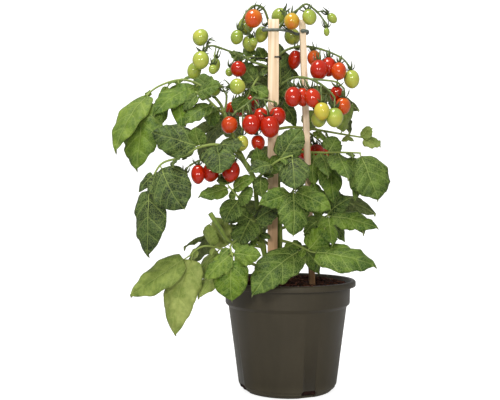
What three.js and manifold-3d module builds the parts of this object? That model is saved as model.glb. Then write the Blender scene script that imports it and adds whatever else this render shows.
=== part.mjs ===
// A potted plum tomato plant: a nursery pot full of coir, two wooden slats with wire ties, and one
// plant with its stems, compound leaves and hanging trusses of small plum fruit.
// Millimetres, +Z up. The origin is the middle of the pot's base, on the surface it stands on.
// Each named mesh is one real piece, or one leaf, one truss or one cluster of touching ripe fruit.

import * as THREE from 'three'
import { mergeVertices } from 'three/addons/utils/BufferGeometryUtils.js'
import Module from 'manifold-3d'

const wasm = await Module()
wasm.setup()
const { Manifold, Mesh } = wasm

// ---------------------------------------------------------------- driving dimensions

const CLEAR = 0.3 // gap kept between pieces that touch
const SLIVER = 0.1 // edges finer than this are smoothed away after a cut

const RIM_RADIUS = 95 // a 19 cm nursery pot
const POT_HEIGHT = 152
const WALL = 2
const LIP_DEPTH = 9 // the rolled lip round the rim
const COLLAR_RADIUS = 87.5 // the wider band under the lip
const COLLAR_BOTTOM = 120
const STEP_DEPTH = 4.5 // the collar steps in to the wall over this height
const WALL_TOP_RADIUS = 82.5
const WALL_BOTTOM_RADIUS = 68.5
const BASE_RADIUS = 61.5
const FOOT_INNER_RADIUS = 50 // the foot is a flat ring, with a shallow hollow ring inside it
const HUB_RADIUS = 22 // and a flat disc in the middle
const FOOT_SINK = 2
const FLOOR = 4.5
const POT_SIDES = 30
const NOTCHES = 4 // drain notches round the bottom corner
const NOTCH_HEADING = -68 // degrees from +X to the first of them
const NOTCH_SIZE = [21, 18, 13] // along the rim, across the wall, up
const NOTCH_TOP = 11

const SOIL_EDGE = 145.5 // height of the coir at the wall, and where it heaps up in the middle
const SOIL_CROWN = 154
const CLOD = 1.6 // height of the lumps in its surface

const SLAT_WIDTH = 14.5
const SLAT_FOOT_WIDTH = 11
const SLAT_TIP_WIDTH = 4
const SLAT_THICK = 8
const SLAT_BOTTOM = 40
const SLAT_POINT = 22 // length of the pointed end
const SLAT_TAPER = 0.6 // share of the length over which a slat widens
const LEFT_SLAT = { foot: [-23.5, -58.5], head: [-21, -50, 504] } // foot at SLAT_BOTTOM
const RIGHT_SLAT = { foot: [34.5, -51], head: [18, -40, 505] }

const STEM_BOTTOM = 70 // the stems end this high in the coir
const STEM_SIDES = 6
const WIRE_SIDES = 5
const LEAF_STALK = { thick: 2.2, thin: 1.1, sides: 3 } // radius where it leaves the stem, and at its end
const STALK_END = 0.985 // what grows at the end of a stalk is sunk into it from here
const TRUSS_STALK = { thick: 1.9, thin: 1.1, sides: 4 }
const TRUSS_BRANCH = { thick: 1.5, thin: 1, sides: 4 }

const PEDICEL = 0.9 // radius
const BUD = 14 // fruit narrower than this has no calyx to speak of
const BUD_STALK = { thick: PEDICEL, thin: PEDICEL, sides: 3 }
const RIPE = 0.5 // fruit riper than this is red and is a piece of its own
const PLUM = [[-1, 0], [-0.74, 0.66], [-0.1, 1], [0.68, 0.74]] // share of half the height, and of the radius
const CROWN = 0.97 // height of a fruit's crown over its middle, as a share of half its height
const PLUM_SIDES = 7
const BUD_SIDES = 6
const HANG = [0.75, 0.45] // a crown leans to where the fruit hangs from, and upwards
const SEPALS = 4
const SEPAL_REACH = 0.42 // length of a sepal as a share of the fruit's width
const SEPAL_LIFT = 2.2 // height of the sepals' tips over the crown
const CLEFT_REACH = 0.14 // the clefts between the sepals lie this near the middle
const CLEFT_LIFT = 0.8
const STAR_LIFT = 3 // the pedicel opens into the calyx this high over the crown
const RIPE_SEAT = CLEAR + 0.05 // a ripe fruit's calyx stands this far off it
const GREEN_SEAT = -1.2 // a green fruit's calyx is sunk this deep in it

const BLADE = 0.9 // thickness of a leaf blade
// Stations of a blade as [share of the length, share of the half width]: lobes stand out and fall back
const BROAD = [[0, 0.05], [0.1, 0.07], [0.27, 1], [0.45, 0.8], [0.6, 0.86], [1, 0]]
const SMALL = [[0, 0.14], [0.3, 1], [0.62, 0.74], [1, 0]]
const BROAD_FROM = 42 // narrower leaflets get the simpler blade, without a fold
const SWEEP = 0.05 // how far the lobes of a blade point forward, as a share of its length
const BOW = 0.07 // how far a blade arches
const FOLD = 0.2 // how far a blade's edges drop from its midrib
const PLANT_AXIS = [-12, -20] // blades face away from this line, upwards, and towards the light
const NEAR_LIGHT = 1.6 // how strongly a leaf on the near side turns to the front
const UPWARD = 0.55
const FAR_TIP = 0.66 // widths of a far leaf's tip leaflet and of its pairs, as shares of their size
const FAR_PAIR = 0.5

const LEAF_GREEN = 0x4c7330
const YOUNG_GREEN = 0x7d9a48
const STEM_GREEN = 0x7c8f4a
const RIPE_RED = 0xc8301c
const PALE_WOOD = 0xd9b98c
const COIR_BROWN = 0x3b221c
const POT_OLIVE = 0x463f33

// ---------------------------------------------------------------- where everything grows
// Points are [x, y, z] in millimetres. The viewer's side of the pot is -Y.

const STEMS = [
  { thick: 3.9, thin: 2.2, route: [[-10, -34, STEM_BOTTOM], [-10, -35, 146], [-12, -40, 179], [-13, -45, 225],
    [-14, -45, 270], [-18, -42.5, 335], [-21, -38, 398], [-22, -36, 453], [-21, -34, 489]] },
  { thick: 3.9, thin: 2.6, route: [[-10, -34, STEM_BOTTOM + 12], [-18, -35, 122], [-25, -38, 147],
    [-31, -44, 180], [-39, -52, 223], [-44, -60, 264], [-47, -62, 290], [-66, -64, 325], [-79, -65, 359],
    [-87, -62, 377]] },
  // the stub of a leaf that was cut off, swollen at its end
  { thick: 1.8, thin: 3.2, route: [[-35, -48, 200], [-55, -60, 204], [-80, -76, 210], [-91, -92, 227],
    [-103, -100, 246]] },
]

// A leaf: the route of its stalk, and its leaflets as [share of the stalk, tip x, y, z, width]
const LEAVES = {
  leaf_left_high: {
    stalk: [[-87, -62, 377], [-92, -50, 391], [-117, -35, 417], [-145, -30, 427], [-177, -35, 417],
      [-197, -45, 399]],
    leaflets: [[0.42, -178, -75, 376, 44], [1, -201, -80, 303, 62], [0.9, -229, -84, 329, 44],
      [0.7, -190, -20, 348, 38], [0.62, -142, -76, 353, 28], [0.55, -146, 10, 434, 30],
      [0.25, -133, 25, 441, 30]],
  },
  leaf_left_inner: {
    stalk: [[-87, -62, 377], [-97, -74, 384], [-110, -78, 396], [-124, -76, 404]],
    leaflets: [[0.95, -91, -100, 410, 32], [0.45, -136, -92, 362, 32], [0.4, -106, -62, 360, 28],
      [0.9, -140, -72, 380, 24]],
  },
  leaf_left_middle: {
    stalk: [[-64, -64, 321], [-91, -84, 334], [-118, -96, 330], [-142, -99, 317], [-165, -98, 309],
      [-182, -95, 281]],
    leaflets: [[0.42, -177, -100, 349, 46], [0.42, -121, -107, 354, 24], [0.8, -134, -120, 252, 56],
      [1, -182, -105, 192, 48], [0.28, -90, -125, 296, 44], [0.26, -62, -102, 333, 32],
      [0.88, -198, -80, 274, 18]],
  },
  leaf_centre_left: {
    stalk: [[-40, -53, 226], [-58, -68, 252], [-68, -85, 267], [-81, -90, 282]],
    leaflets: [[0.95, -117, -100, 268, 28], [0.75, -50, -105, 268, 30], [0.7, -84, -107, 235, 32],
      [1, -86, -72, 300, 26], [0.5, -80, -50, 240, 28], [0.9, -46, -92, 292, 26]],
  },
  leaf_low_dark: {
    stalk: [[-37, -50, 212], [-43, -58, 228], [-52, -70, 238]],
    leaflets: [[1, -68, -92, 206, 40], [0.8, -14, -80, 256, 34], [0.45, -50, -20, 204, 32],
      [0.9, -82, -84, 256, 28]],
  },
  leaf_front_centre: {
    stalk: [[-13, -45, 231], [-6, -78, 258], [3, -100, 277]],
    leaflets: [[1, 2, -125, 220, 45], [0.9, -40, -118, 259, 34], [0.95, 49, -112, 253, 38]],
  },
  leaf_front_upper: {
    stalk: [[-46, -62, 288], [-31, -78, 302], [-17, -92, 313], [2, -100, 320]],
    leaflets: [[1, 3, -126, 278, 44], [0.55, -52, -110, 300, 27], [0.7, 14, -94, 354, 38],
      [0.25, -44, -86, 330, 24], [0.35, -10, -88, 318, 26],
      [0.2, -37, -92, 266, 22]],
  },
  leaf_right_large: {
    stalk: [[-18, -42, 331], [4, -34, 330], [28, -30, 328], [50, -52, 326], [70, -74, 325], [92, -78, 324]],
    leaflets: [[1, 111, -100, 264, 60], [0.9, 84, -85, 262, 26], [0.75, 72, -110, 291, 42],
      [0.42, 32, -66, 283, 26], [0.5, 48, -92, 295, 27], [0.62, 64, -40, 349, 29], [0.6, 58, -70, 258, 36]],
  },
  leaf_right_low: {
    stalk: [[-13, -45, 224], [4, -37, 229], [27, -32, 233], [43, -43, 238], [49, -74, 243]],
    leaflets: [[1, 52, -107, 207, 33], [0.97, 111, -92, 228, 34], [0.9, 76, -80, 266, 30],
      [0.5, 27, -18, 212, 24], [0.8, 75, -50, 208, 26], [0.7, 30, -62, 288, 29], [0.75, 18, -98, 222, 26]],
  },
  leaf_front_right: {
    stalk: [[-12.5, -43, 209], [6, -66, 205], [25, -96, 197]],
    leaflets: [[1, 103, -124, 183, 54], [0.9, 42, -100, 226, 34], [0.75, 40, -66, 166, 26],
      [0.75, -50, -126, 146, 54], [0.45, 10, -78, 200, 18]],
  },
  leaf_front_left: {
    stalk: [[-35, -48, 202], [-58, -70, 213], [-77, -98, 205], [-74, -110, 191]],
    leaflets: [[1, -75, -122, 138, 46], [0.93, -109, -118, 166, 32], [0.93, -39, -118, 194, 30]],
  },
  leaf_left_low: {
    stalk: [[-28, -42, 168], [-58, -54, 182], [-86, -72, 198], [-114, -84, 203], [-132, -90, 190]],
    leaflets: [[1, -207, -90, 141, 46], [0.93, -148, -108, 93, 48], [0.72, -104, -98, 232, 24],
      [0.5, -119, -102, 139, 32], [0.62, -126, -66, 156, 30], [0.55, -100, -44, 240, 30]],
  },
  leaf_between_slats: {
    stalk: [[-21, -38, 400], [-11, -24, 414]],
    leaflets: [[1, -11, -10, 480, 44], [0.6, 10, -20, 423, 30], [0.3, 12, -22, 364, 28]],
  },
  leaf_right_middle: {
    stalk: [[-19, -41, 358], [5, -24, 363], [31, -20, 361], [72, -30, 353], [102, -40, 347]],
    leaflets: [[0.75, 88, -34, 392, 32], [1, 122, -50, 336, 24], [0.95, 111, -44, 360, 24],
      [0.5, 50, -40, 343, 24], [0.35, 47, 5, 387, 29]],
  },
  leaf_top_left: {
    stalk: [[-22, -36, 448], [-36, -34, 454], [-48, -34, 457], [-60, -36, 456]],
    leaflets: [[1, -80, -42, 462, 17], [0.7, -58, -22, 476, 17], [0.3, -43, -18, 474, 20]],
  },
  leaf_upper_left: {
    stalk: [[-22, -37, 444], [-33, -41, 440], [-40, -44, 430], [-48, -48, 417], [-56, -53, 400]],
    leaflets: [[0.75, -29, -62, 400, 24], [0.6, -64, -30, 450, 26], [0.45, -30, -22, 426, 26],
      [1, -73, -62, 380, 28]],
  },
}

// A leaf on the far side grows by rule:
// [start, heading in degrees from +X, reach, rise, size of a leaflet]
const FAR_LEAVES = {
  leaf_back_low_left: [[-12, -41, 188], 142, 118, 34, 60],
  leaf_back_low: [[-12.7, -44, 216], 100, 122, 40, 66],
  leaf_back_low_right: [[-13.6, -45, 246], 42, 128, 22, 64],
  leaf_back_middle: [[-16, -44, 296], 78, 118, 44, 66],
  leaf_back_left: [[-18.5, -42, 344], 128, 128, 40, 64],
  leaf_back_right: [[-19.6, -40, 372], 40, 108, 44, 56],
  leaf_back_high: [[-21.3, -37.5, 412], 96, 84, 40, 50],
}

// A truss: its stalk, a side branch, and fruit as [where, x, y, z, width, height, ripeness].
// "where" is the share of the stalk that the pedicel leaves from, plus 10 for the side branch.
const TRUSSES = {
  truss_top_left: {
    stalk: [[-21, -34, 486], [-28, -40, 506], [-34, -46, 519], [-43, -50, 523], [-54, -52, 517],
      [-63, -52, 501], [-64, -51, 491]],
    fruit: [[0.45, -48, -64, 502, 23, 26, 0.6], [0.62, -58, -40, 498, 21, 24, 0.1],
      [1, -70, -53, 480, 17, 20, 0.05], [0.8, -53, -42, 474, 20, 22, 0.1], [0.9, -48, -61, 472, 12, 12, 0.05],
      [0.2, -37, -34, 488, 18, 23, 0.1]],
  },
  truss_top_right: {
    stalk: [[-21, -34, 483], [-13, -33, 496], [-2, -35, 511], [12, -40, 520], [23, -42, 527], [32, -44, 521],
      [41, -45, 512], [50, -46, 499]],
    fruit: [[0.3, -12, -20, 516, 22, 25, 0.1], [0.35, 3, -58, 500, 21, 24, 0.45],
      [0.55, 26, -60, 505, 19, 23, 0.08], [0.2, 6, -16, 489, 22, 24, 0.15], [0.8, 58, -42, 508, 12, 16, 0.05],
      [1, 50, -49, 488, 8, 12, 0.03]],
  },
  truss_left: {
    stalk: [[-22, -37, 440], [-34, -50, 443], [-48, -53, 447], [-62, -51, 455], [-78, -51, 461],
      [-94, -54, 466], [-103, -56, 468], [-112, -58, 465]],
    fruit: [[1, -118, -60, 478, 23, 21, 0.12], [1, -117, -70, 446, 22, 25, 0.1],
      [0.96, -127, -50, 436, 19, 23, 0.08], [0.8, -99, -54, 442, 14, 21, 0.08],
      [0.85, -101, -70, 434, 12, 13, 0.05], [0.42, -68, -62, 436, 21, 21, 1],
      [0.55, -80, -50, 434, 11, 12, 0.05]],
  },
  truss_left_young: {
    stalk: [[-87, -62, 377], [-84, -64, 390], [-83, -70, 401]],
    fruit: [[1, -69, -74, 411, 21, 21, 0.12], [0.9, -101, -60, 410, 20, 20, 0.1]],
  },
  truss_centre: {
    stalk: [[-21, -38, 401], [-38, -50, 403], [-47, -66, 397], [-56, -76, 388], [-67, -80, 380]],
    branch: [[-47, -66, 397], [-32, -78, 393], [-18, -78, 389]],
    fruit: [[0.8, -51, -88, 360, 23, 27, 1], [10.5, -27, -89, 357, 25, 29, 1],
      [0.6, -38, -75, 371, 22, 25, 1], [11, -17, -77, 372, 22, 25, 1],
      [1, -79, -84, 360, 21, 23, 0.75], [0.9, -63, -80, 337, 17, 21, 0.2],
      [0.75, -42, -72, 338, 18, 21, 0.9]],
  },
  truss_left_low: {
    stalk: [[-56, -63, 305], [-68, -70, 319], [-88, -74, 322], [-106, -80, 318], [-120, -84, 313],
      [-131, -86, 307]],
    fruit: [[0.85, -119, -92, 296, 18, 26, 1], [0.6, -103, -86, 299, 22, 26, 1],
      [0.3, -77, -90, 300, 23, 30, 1], [1, -137, -92, 292, 10, 12, 0.3]],
  },
  truss_right_high: {
    stalk: [[-22, -36.5, 452], [-3, -32, 467], [17, -27, 473], [37, -36, 469], [55, -46, 461], [71, -54, 451],
      [79, -58, 440]],
    fruit: [[0.35, 9, -22, 456, 18, 27, 1], [0.5, 34, -42, 454, 19, 22, 0.65], [0.6, 38, -67, 434, 24, 28, 1],
      [0.7, 52, -55, 440, 21, 27, 0.95], [0.85, 64, -68, 432, 20, 25, 0.7], [1, 82, -60, 423, 21, 25, 0.15]],
  },
  truss_right: {
    stalk: [[-20.7, -38, 412], [0, -50, 424], [12, -68, 424], [26, -78, 420], [42, -81, 411], [52, -82, 402],
      [58, -82, 394]],
    branch: [[26, -78, 420], [44, -82, 418], [60, -83, 415], [70, -80, 407]],
    fruit: [[0.35, 3, -85, 396, 22, 28, 1], [0.45, 16, -76, 397, 19, 25, 0.85],
      [0.5, 28, -88, 394, 21, 26, 0.85], [10.75, 61, -68, 402, 18, 23, 1], [11, 68, -78, 385, 20, 23, 0.65],
      [0.75, 39, -96, 376, 20, 24, 0.3], [0.7, 37, -76, 368, 20, 21, 0.12], [1, 56, -90, 369, 22, 26, 0.12]],
  },
  truss_back_left: {
    stalk: [[-20.5, -39, 394], [-34, -14, 420], [-52, 8, 428], [-70, 20, 416]],
    fruit: [[0.55, -51, 12, 400, 22, 27, 1], [0.8, -67, 3, 394, 21, 26, 1], [1, -78, 18, 392, 20, 24, 0.8],
      [0.85, -58, 38, 400, 18, 22, 0.15]],
  },
  truss_back_right: {
    stalk: [[-18, -42.5, 338], [2, -10, 356], [28, 14, 360], [48, 26, 348]],
    fruit: [[0.6, 24, 20, 334, 22, 27, 1], [0.8, 42, 10, 330, 22, 26, 1], [1, 54, 26, 328, 21, 25, 0.9],
      [0.85, 32, 42, 338, 18, 21, 0.2]],
  },
}

const TIES = {
  // soft wire round both slats, with a bent knob at each end
  tie_top: { radius: 1.9, colour: 0x5d6a5e, route: [[-37, -56, 489], [-30, -56.7, 489], [-13, -56.7, 489],
    [2, -46, 489], [11, -31.5, 489], [18, -30.7, 489], [24.6, -33, 489], [25.2, -42, 489], [23.5, -50.2, 489],
    [15, -50.6, 489]] },
  // a sleeved wire that holds the main stem against the left slat
  tie_lower: { radius: 1.7, colour: 0x22241f, route: [[-52, -50, 453], [-41, -48, 453], [-31, -42, 453],
    [-27, -33.5, 453], [-21, -31, 453], [-14.5, -34, 453], [-11.8, -46, 453], [-12.6, -56.2, 453],
    [-20, -57.3, 453]] },
}

// ---------------------------------------------------------------- solids

const vec = (point) => new THREE.Vector3(...point)

// A closed solid from a three.js geometry, with its faces turned outwards
function solid(geometry) {
  geometry.deleteAttribute('normal')
  geometry.deleteAttribute('uv')
  const merged = mergeVertices(geometry, 1e-3)
  const corners = merged.index.array
  const kept = []
  for (let i = 0; i < corners.length; i += 3) {
    const [a, b, c] = corners.slice(i, i + 3)
    if (a !== b && b !== c && c !== a) kept.push(a, b, c)
  }
  const vertProperties = new Float32Array(merged.attributes.position.array)
  const body = new Manifold(new Mesh({ numProp: 3, vertProperties, triVerts: new Uint32Array(kept) }))
  if (body.volume() > 0) return body
  const turned = new Uint32Array(kept.map((corner, i) => kept[i % 3 ? i - (i % 3) + 3 - (i % 3) : i]))
  return new Manifold(new Mesh({ numProp: 3, vertProperties, triVerts: turned }))
}

const join = (bodies) => Manifold.union(bodies)

// Boxes of two bodies that come near each other
function near(a, b) {
  const one = a.boundingBox()
  const two = b.boundingBox()
  return [0, 1, 2].every((i) => one.min[i] < two.max[i] && two.min[i] < one.max[i])
}

// A body with each of the other bodies cut away where it reaches it
function clearOf(body, others) {
  const close = others.filter((other) => near(body, other))
  return close.length ? body.subtract(join(close)) : body
}

// The largest connected piece: loose scraps are dropped and sealed hollows are filled
function whole(body) {
  return body.decompose().reduce((largest, piece) => (piece.volume() > largest.volume() ? piece : largest))
}

const smooth = (points) => new THREE.CatmullRomCurve3(points.map(vec), false, 'centripetal')

// The corners of a stalk's route, evenly spaced, and the point a share of the way along them
const bends = (points) => smooth(points).getSpacedPoints(points.length - 1)

function along(points, share) {
  const stops = bends(points)
  const reach = Math.min(share, STALK_END) * (stops.length - 1)
  const step = Math.floor(reach)
  return stops[step].clone().lerp(stops[step + 1], reach - step)
}

// A tapering tube along a route. Grown by a gap, it is the space that a neighbour keeps clear of.
function tube(points, { thick, thin, sides }, gap) {
  const steps = points.length - 1
  const corners = Array.from({ length: sides }, (_, i) => {
    const angle = (i / sides) * 2 * Math.PI
    return new THREE.Vector2(Math.cos(angle), Math.sin(angle))
  })
  const geometry = new THREE.ExtrudeGeometry(new THREE.Shape(corners), {
    steps, extrudePath: smooth(points), bevelEnabled: false,
  })
  const centres = bends(points)
  const place = geometry.attributes.position
  const point = new THREE.Vector3()
  for (let i = 0; i < place.count; i++) {
    point.fromBufferAttribute(place, i)
    const step = centres.reduce((best, centre, s) => (
      centre.distanceTo(point) < centres[best].distanceTo(point) ? s : best), 0)
    const radius = thick + ((thin - thick) * step) / steps + gap
    point.sub(centres[step]).multiplyScalar(radius).add(centres[step])
    place.setXYZ(i, point.x, point.y, point.z)
  }
  return solid(geometry)
}

// A closed solid from a list of corners and a list of faces
function facets(corners, faces) {
  const geometry = new THREE.BufferGeometry()
  geometry.setAttribute('position', new THREE.BufferAttribute(new Float32Array(corners.flat()), 3))
  geometry.setIndex(faces.flat())
  return solid(geometry)
}

const FLAT_ROW = [-1, 1]
const FOLDED_ROW = [-1, 0, 1]

// One leaflet: an arched and toothed blade of even thickness, on a short stalk of its own
function leaflet(base, tip, width, light, gap) {
  const chord = tip.clone().sub(base)
  const length = chord.length()
  const ahead = chord.clone().normalize()
  const middle = base.clone().lerp(tip, 0.5)
  const face = new THREE.Vector3(middle.x - PLANT_AXIS[0], middle.y - PLANT_AXIS[1], 0).normalize()
  face.y -= light
  face.z = UPWARD * (1 + light)
  face.addScaledVector(ahead, -face.dot(ahead)).normalize()
  const side = new THREE.Vector3().crossVectors(ahead, face)
  const [stations, row] = width < BROAD_FROM ? [SMALL, FLAT_ROW] : [BROAD, FOLDED_ROW]
  const last = stations.length - 1
  const corners = []
  for (const up of [1, -1]) {
    stations.forEach(([share, wide], i) => {
      const reach = share * length + gap * (i === last ? 2 : i === 0 ? -1 : 0)
      const mid = base.clone().addScaledVector(ahead, reach)
      mid.addScaledVector(face, BOW * length * 4 * share * (1 - share) + up * (BLADE / 2 + gap))
      const half = i === last ? 0 : (wide * width) / 2 + gap
      const forward = i > 0 && i < last && wide > 0.1 ? SWEEP * length : 0
      for (const hand of row) {
        const corner = mid.clone().addScaledVector(side, hand * half)
        corner.addScaledVector(face, -FOLD * Math.abs(hand) * half)
        corner.addScaledVector(ahead, forward * Math.abs(hand))
        corners.push(corner.toArray())
      }
    })
  }
  const across = row.length
  const under = stations.length * across // the lower face repeats the upper face's corners
  const faces = []
  const wall = (a, b) => faces.push([a, b, b + under], [a, b + under, a + under])
  for (let i = 0; i < last; i++) {
    const from = i * across
    for (let column = 0; column < across - 1; column++) {
      const [a, b] = [from + column, from + column + 1]
      const [c, d] = [a + across, b + across]
      faces.push([a, b, d], [a, d, c], [b + under, a + under, d + under], [d + under, a + under, c + under])
    }
    wall(from, from + across)
    wall(from + 2 * across - 1, from + across - 1)
  }
  for (let column = 0; column < across - 1; column++) wall(column + 1, column)
  return facets(corners, faces)
}

// The stalk and leaflets of a leaf that follows the rule: a tip leaflet that hangs from the end, and
// two pairs behind it
function farLeaf([start, heading, reach, rise, size]) {
  const turn = (heading * Math.PI) / 180
  const out = (distance, lift, sideways = 0) => [
    start[0] + Math.cos(turn) * distance - Math.sin(turn) * sideways,
    start[1] + Math.sin(turn) * distance + Math.cos(turn) * sideways,
    start[2] + lift,
  ]
  const droop = rise * 0.8
  const stalk = [start, out(reach * 0.3, rise * 0.7), out(reach * 0.65, rise), out(reach, droop)]
  const leaflets = [[1, ...out(reach + size * 0.8, droop - size * 0.8), size * FAR_TIP]]
  for (const hand of [-1, 1]) {
    leaflets.push([0.9, ...out(reach + size * 0.25, droop - size * 0.3, hand * size * 0.8), size * FAR_PAIR])
    leaflets.push([0.58, ...out(reach * 0.7, rise - size * 0.2, hand * size * 0.9), size * FAR_PAIR])
  }
  return { stalk, leaflets, light: 0 }
}

// A plum fruit hung by its crown: rings of a turned profile, a little fuller towards the bottom
function plum({ centre, crown, width, height }, gap) {
  const profile = [...PLUM, [CROWN, 0]].map(([z, r]) => (
    new THREE.Vector2(r * (width / 2 + gap), z * (height / 2 + gap))))
  const geometry = new THREE.LatheGeometry(profile, width < BUD ? BUD_SIDES : PLUM_SIDES)
  geometry.applyQuaternion(new THREE.Quaternion().setFromUnitVectors(new THREE.Vector3(0, 1, 0), crown))
  geometry.translate(centre.x, centre.y, centre.z)
  return solid(geometry)
}

// A fruit's pedicel and the green star at its end, as one solid: a four-sided stalk that opens into
// four sepals whose tips stand up. Its foot is sunk in the truss stalk.
function pedicel({ from, top, crown, width, ripe }, gap) {
  const neck = top.clone().addScaledVector(crown, STAR_LIFT)
  const across = new THREE.Vector3(1, 0.3, 0).cross(crown).normalize()
  const aside = new THREE.Vector3().crossVectors(crown, across)
  const ring = (centre, radius, turn, lift = 0) => Array.from({ length: SEPALS }, (_, i) => {
    const angle = ((i + turn) / SEPALS) * 2 * Math.PI
    return centre.clone().addScaledVector(across, radius * Math.cos(angle))
      .addScaledVector(aside, radius * Math.sin(angle)).addScaledVector(crown, lift).toArray()
  })
  const corners = [from.toArray(), ...ring(from, PEDICEL + gap, 0), ...ring(neck, PEDICEL + gap, 0),
    ...ring(top, SEPAL_REACH * width + gap, 0, SEPAL_LIFT),
    ...ring(top, CLEFT_REACH * width + gap, 0.5, CLEFT_LIFT),
    top.clone().addScaledVector(crown, ripe ? RIPE_SEAT : GREEN_SEAT).toArray()]
  const [stalk, collar, tips, clefts] = [0, 1, 2, 3].map((level) => (i) => 1 + level * SEPALS + (i % SEPALS))
  const bottom = corners.length - 1
  const faces = []
  for (let i = 0; i < SEPALS; i++) {
    faces.push([0, stalk(i + 1), stalk(i)], [stalk(i), stalk(i + 1), collar(i + 1)])
    faces.push([stalk(i), collar(i + 1), collar(i)], [collar(i), collar(i + 1), clefts(i)])
    faces.push([collar(i), clefts(i), tips(i)], [collar(i + 1), tips(i + 1), clefts(i)])
    faces.push([clefts(i), tips(i + 1), clefts(i + 1)], [clefts(i), clefts(i + 1), bottom])
  }
  return facets(corners, faces)
}

// ---------------------------------------------------------------- pot, coir, slats and ties

const up = new THREE.Quaternion().setFromUnitVectors(new THREE.Vector3(0, 1, 0), new THREE.Vector3(0, 0, 1))

function turned(profile) {
  const geometry = new THREE.LatheGeometry(profile.map((p) => new THREE.Vector2(...p)), POT_SIDES)
  return geometry.applyQuaternion(up)
}

function pot() {
  const lipBottom = POT_HEIGHT - LIP_DEPTH
  const stepBottom = COLLAR_BOTTOM - STEP_DEPTH
  const shell = solid(turned([
    [0, 0], [HUB_RADIUS, 0], [(HUB_RADIUS + FOOT_INNER_RADIUS) / 2, FOOT_SINK], [FOOT_INNER_RADIUS, 0],
    [BASE_RADIUS, 0], [WALL_BOTTOM_RADIUS, 9],
    [WALL_TOP_RADIUS, stepBottom], [COLLAR_RADIUS - 0.6, COLLAR_BOTTOM], [COLLAR_RADIUS, lipBottom + 0.6],
    [RIM_RADIUS, lipBottom + 1], [RIM_RADIUS, POT_HEIGHT - 2], [RIM_RADIUS - 1.6, POT_HEIGHT],
    [COLLAR_RADIUS + 1, POT_HEIGHT - 0.4], [COLLAR_RADIUS - WALL, lipBottom],
    [COLLAR_RADIUS - 0.6 - WALL, COLLAR_BOTTOM + 1], [WALL_TOP_RADIUS - WALL, stepBottom],
    [WALL_BOTTOM_RADIUS - WALL, FLOOR], [0, FLOOR],
  ]))
  const cuts = Array.from({ length: NOTCHES }, (_, i) => {
    const angle = (i / NOTCHES) * 2 * Math.PI + (NOTCH_HEADING * Math.PI) / 180
    const block = new THREE.BoxGeometry(...NOTCH_SIZE)
    block.translate(0, -WALL_BOTTOM_RADIUS, NOTCH_TOP - NOTCH_SIZE[2] / 2)
    block.rotateZ(angle + Math.PI / 2)
    return solid(block)
  })
  return shell.subtract(join(cuts))
}

function coir() {
  const heap = [[74, SOIL_EDGE + 1], [54, SOIL_EDGE + 5], [30, SOIL_CROWN - 1], [0, SOIL_CROWN]]
  const inside = WALL + CLEAR
  const fill = turned([
    [0, FLOOR + CLEAR], [WALL_BOTTOM_RADIUS - inside, FLOOR + CLEAR],
    [WALL_TOP_RADIUS - inside, COLLAR_BOTTOM - STEP_DEPTH],
    [COLLAR_RADIUS - 0.8 - inside, COLLAR_BOTTOM + 1.4],
    [COLLAR_RADIUS - inside, SOIL_EDGE - 2], ...heap,
  ])
  const place = fill.attributes.position
  for (let i = 0; i < place.count; i++) {
    const [x, y, z] = [place.getX(i), place.getY(i), place.getZ(i)]
    if (z < SOIL_EDGE || Math.hypot(x, y) < 1) continue
    const lump = Math.sin(0.21 * x + 1) * Math.cos(0.17 * y) + 0.5 * Math.sin(0.4 * (x - y))
    place.setZ(i, z + CLOD * lump)
  }
  return solid(fill)
}

// A slat with a pointed foot. Its wide side faces the front, or the side when it stands turned.
function slat({ foot, head }, turn, gap) {
  const low = new THREE.Vector3(foot[0], foot[1], SLAT_BOTTOM)
  const lean = vec(head).sub(low)
  const length = lean.length() + gap
  const [half, footHalf] = [SLAT_WIDTH / 2 + gap, SLAT_FOOT_WIDTH / 2 + gap]
  const tip = SLAT_TIP_WIDTH / 2 + gap
  const widened = length * SLAT_TAPER
  const outline = new THREE.Shape([
    [-tip, -gap], [tip, -gap], [footHalf, SLAT_POINT], [half, widened], [half, length], [-half, length],
    [-half, widened], [-footHalf, SLAT_POINT],
  ].map((p) => new THREE.Vector2(...p)))
  const depth = SLAT_THICK + 2 * gap
  const body = new THREE.ExtrudeGeometry(outline, { depth, bevelEnabled: false, steps: 1 })
  body.translate(0, 0, -depth / 2).rotateX(Math.PI / 2).rotateZ(turn)
  const upright = new THREE.Vector3(0, 0, 1)
  body.applyQuaternion(new THREE.Quaternion().setFromUnitVectors(upright, lean.normalize()))
  body.translate(low.x, low.y, low.z)
  return solid(body)
}

// ---------------------------------------------------------------- assembly

const SOFTER = { roughness: 0.75, metalness: 0 }
const GLOSSY = { roughness: 0.2, metalness: 0 }
const group = new THREE.Group()

function add(parent, name, body, color, look = SOFTER) {
  const { vertProperties, triVerts } = whole(body.simplify(SLIVER)).getMesh()
  const geometry = new THREE.BufferGeometry()
  geometry.setAttribute('position', new THREE.BufferAttribute(new Float32Array(vertProperties), 3))
  geometry.setIndex(new THREE.BufferAttribute(new Uint32Array(triVerts), 1))
  geometry.computeVertexNormals()
  const mesh = new THREE.Mesh(geometry, new THREE.MeshStandardMaterial({ color, ...look }))
  mesh.name = name
  parent.add(mesh)
}

const holder = new THREE.Group()
const supports = new THREE.Group()
const plant = new THREE.Group()
group.add(holder, supports, plant)

const slatPair = (gap) => [slat(LEFT_SLAT, 0, gap), slat(RIGHT_SLAT, Math.PI / 2, gap)]
const stemBody = (gap) => join(STEMS.map(({ route, thick, thin }) => (
  tube(route, { thick, thin, sides: STEM_SIDES }, gap))))

const [leftSlat, rightSlat] = slatPair(0)
add(supports, 'slat_left', leftSlat, PALE_WOOD)
add(supports, 'slat_right', rightSlat, PALE_WOOD)
const slatRoom = slatPair(CLEAR)

const stemRoom = stemBody(CLEAR)
add(plant, 'stem', clearOf(stemBody(0), slatRoom), STEM_GREEN)

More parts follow.
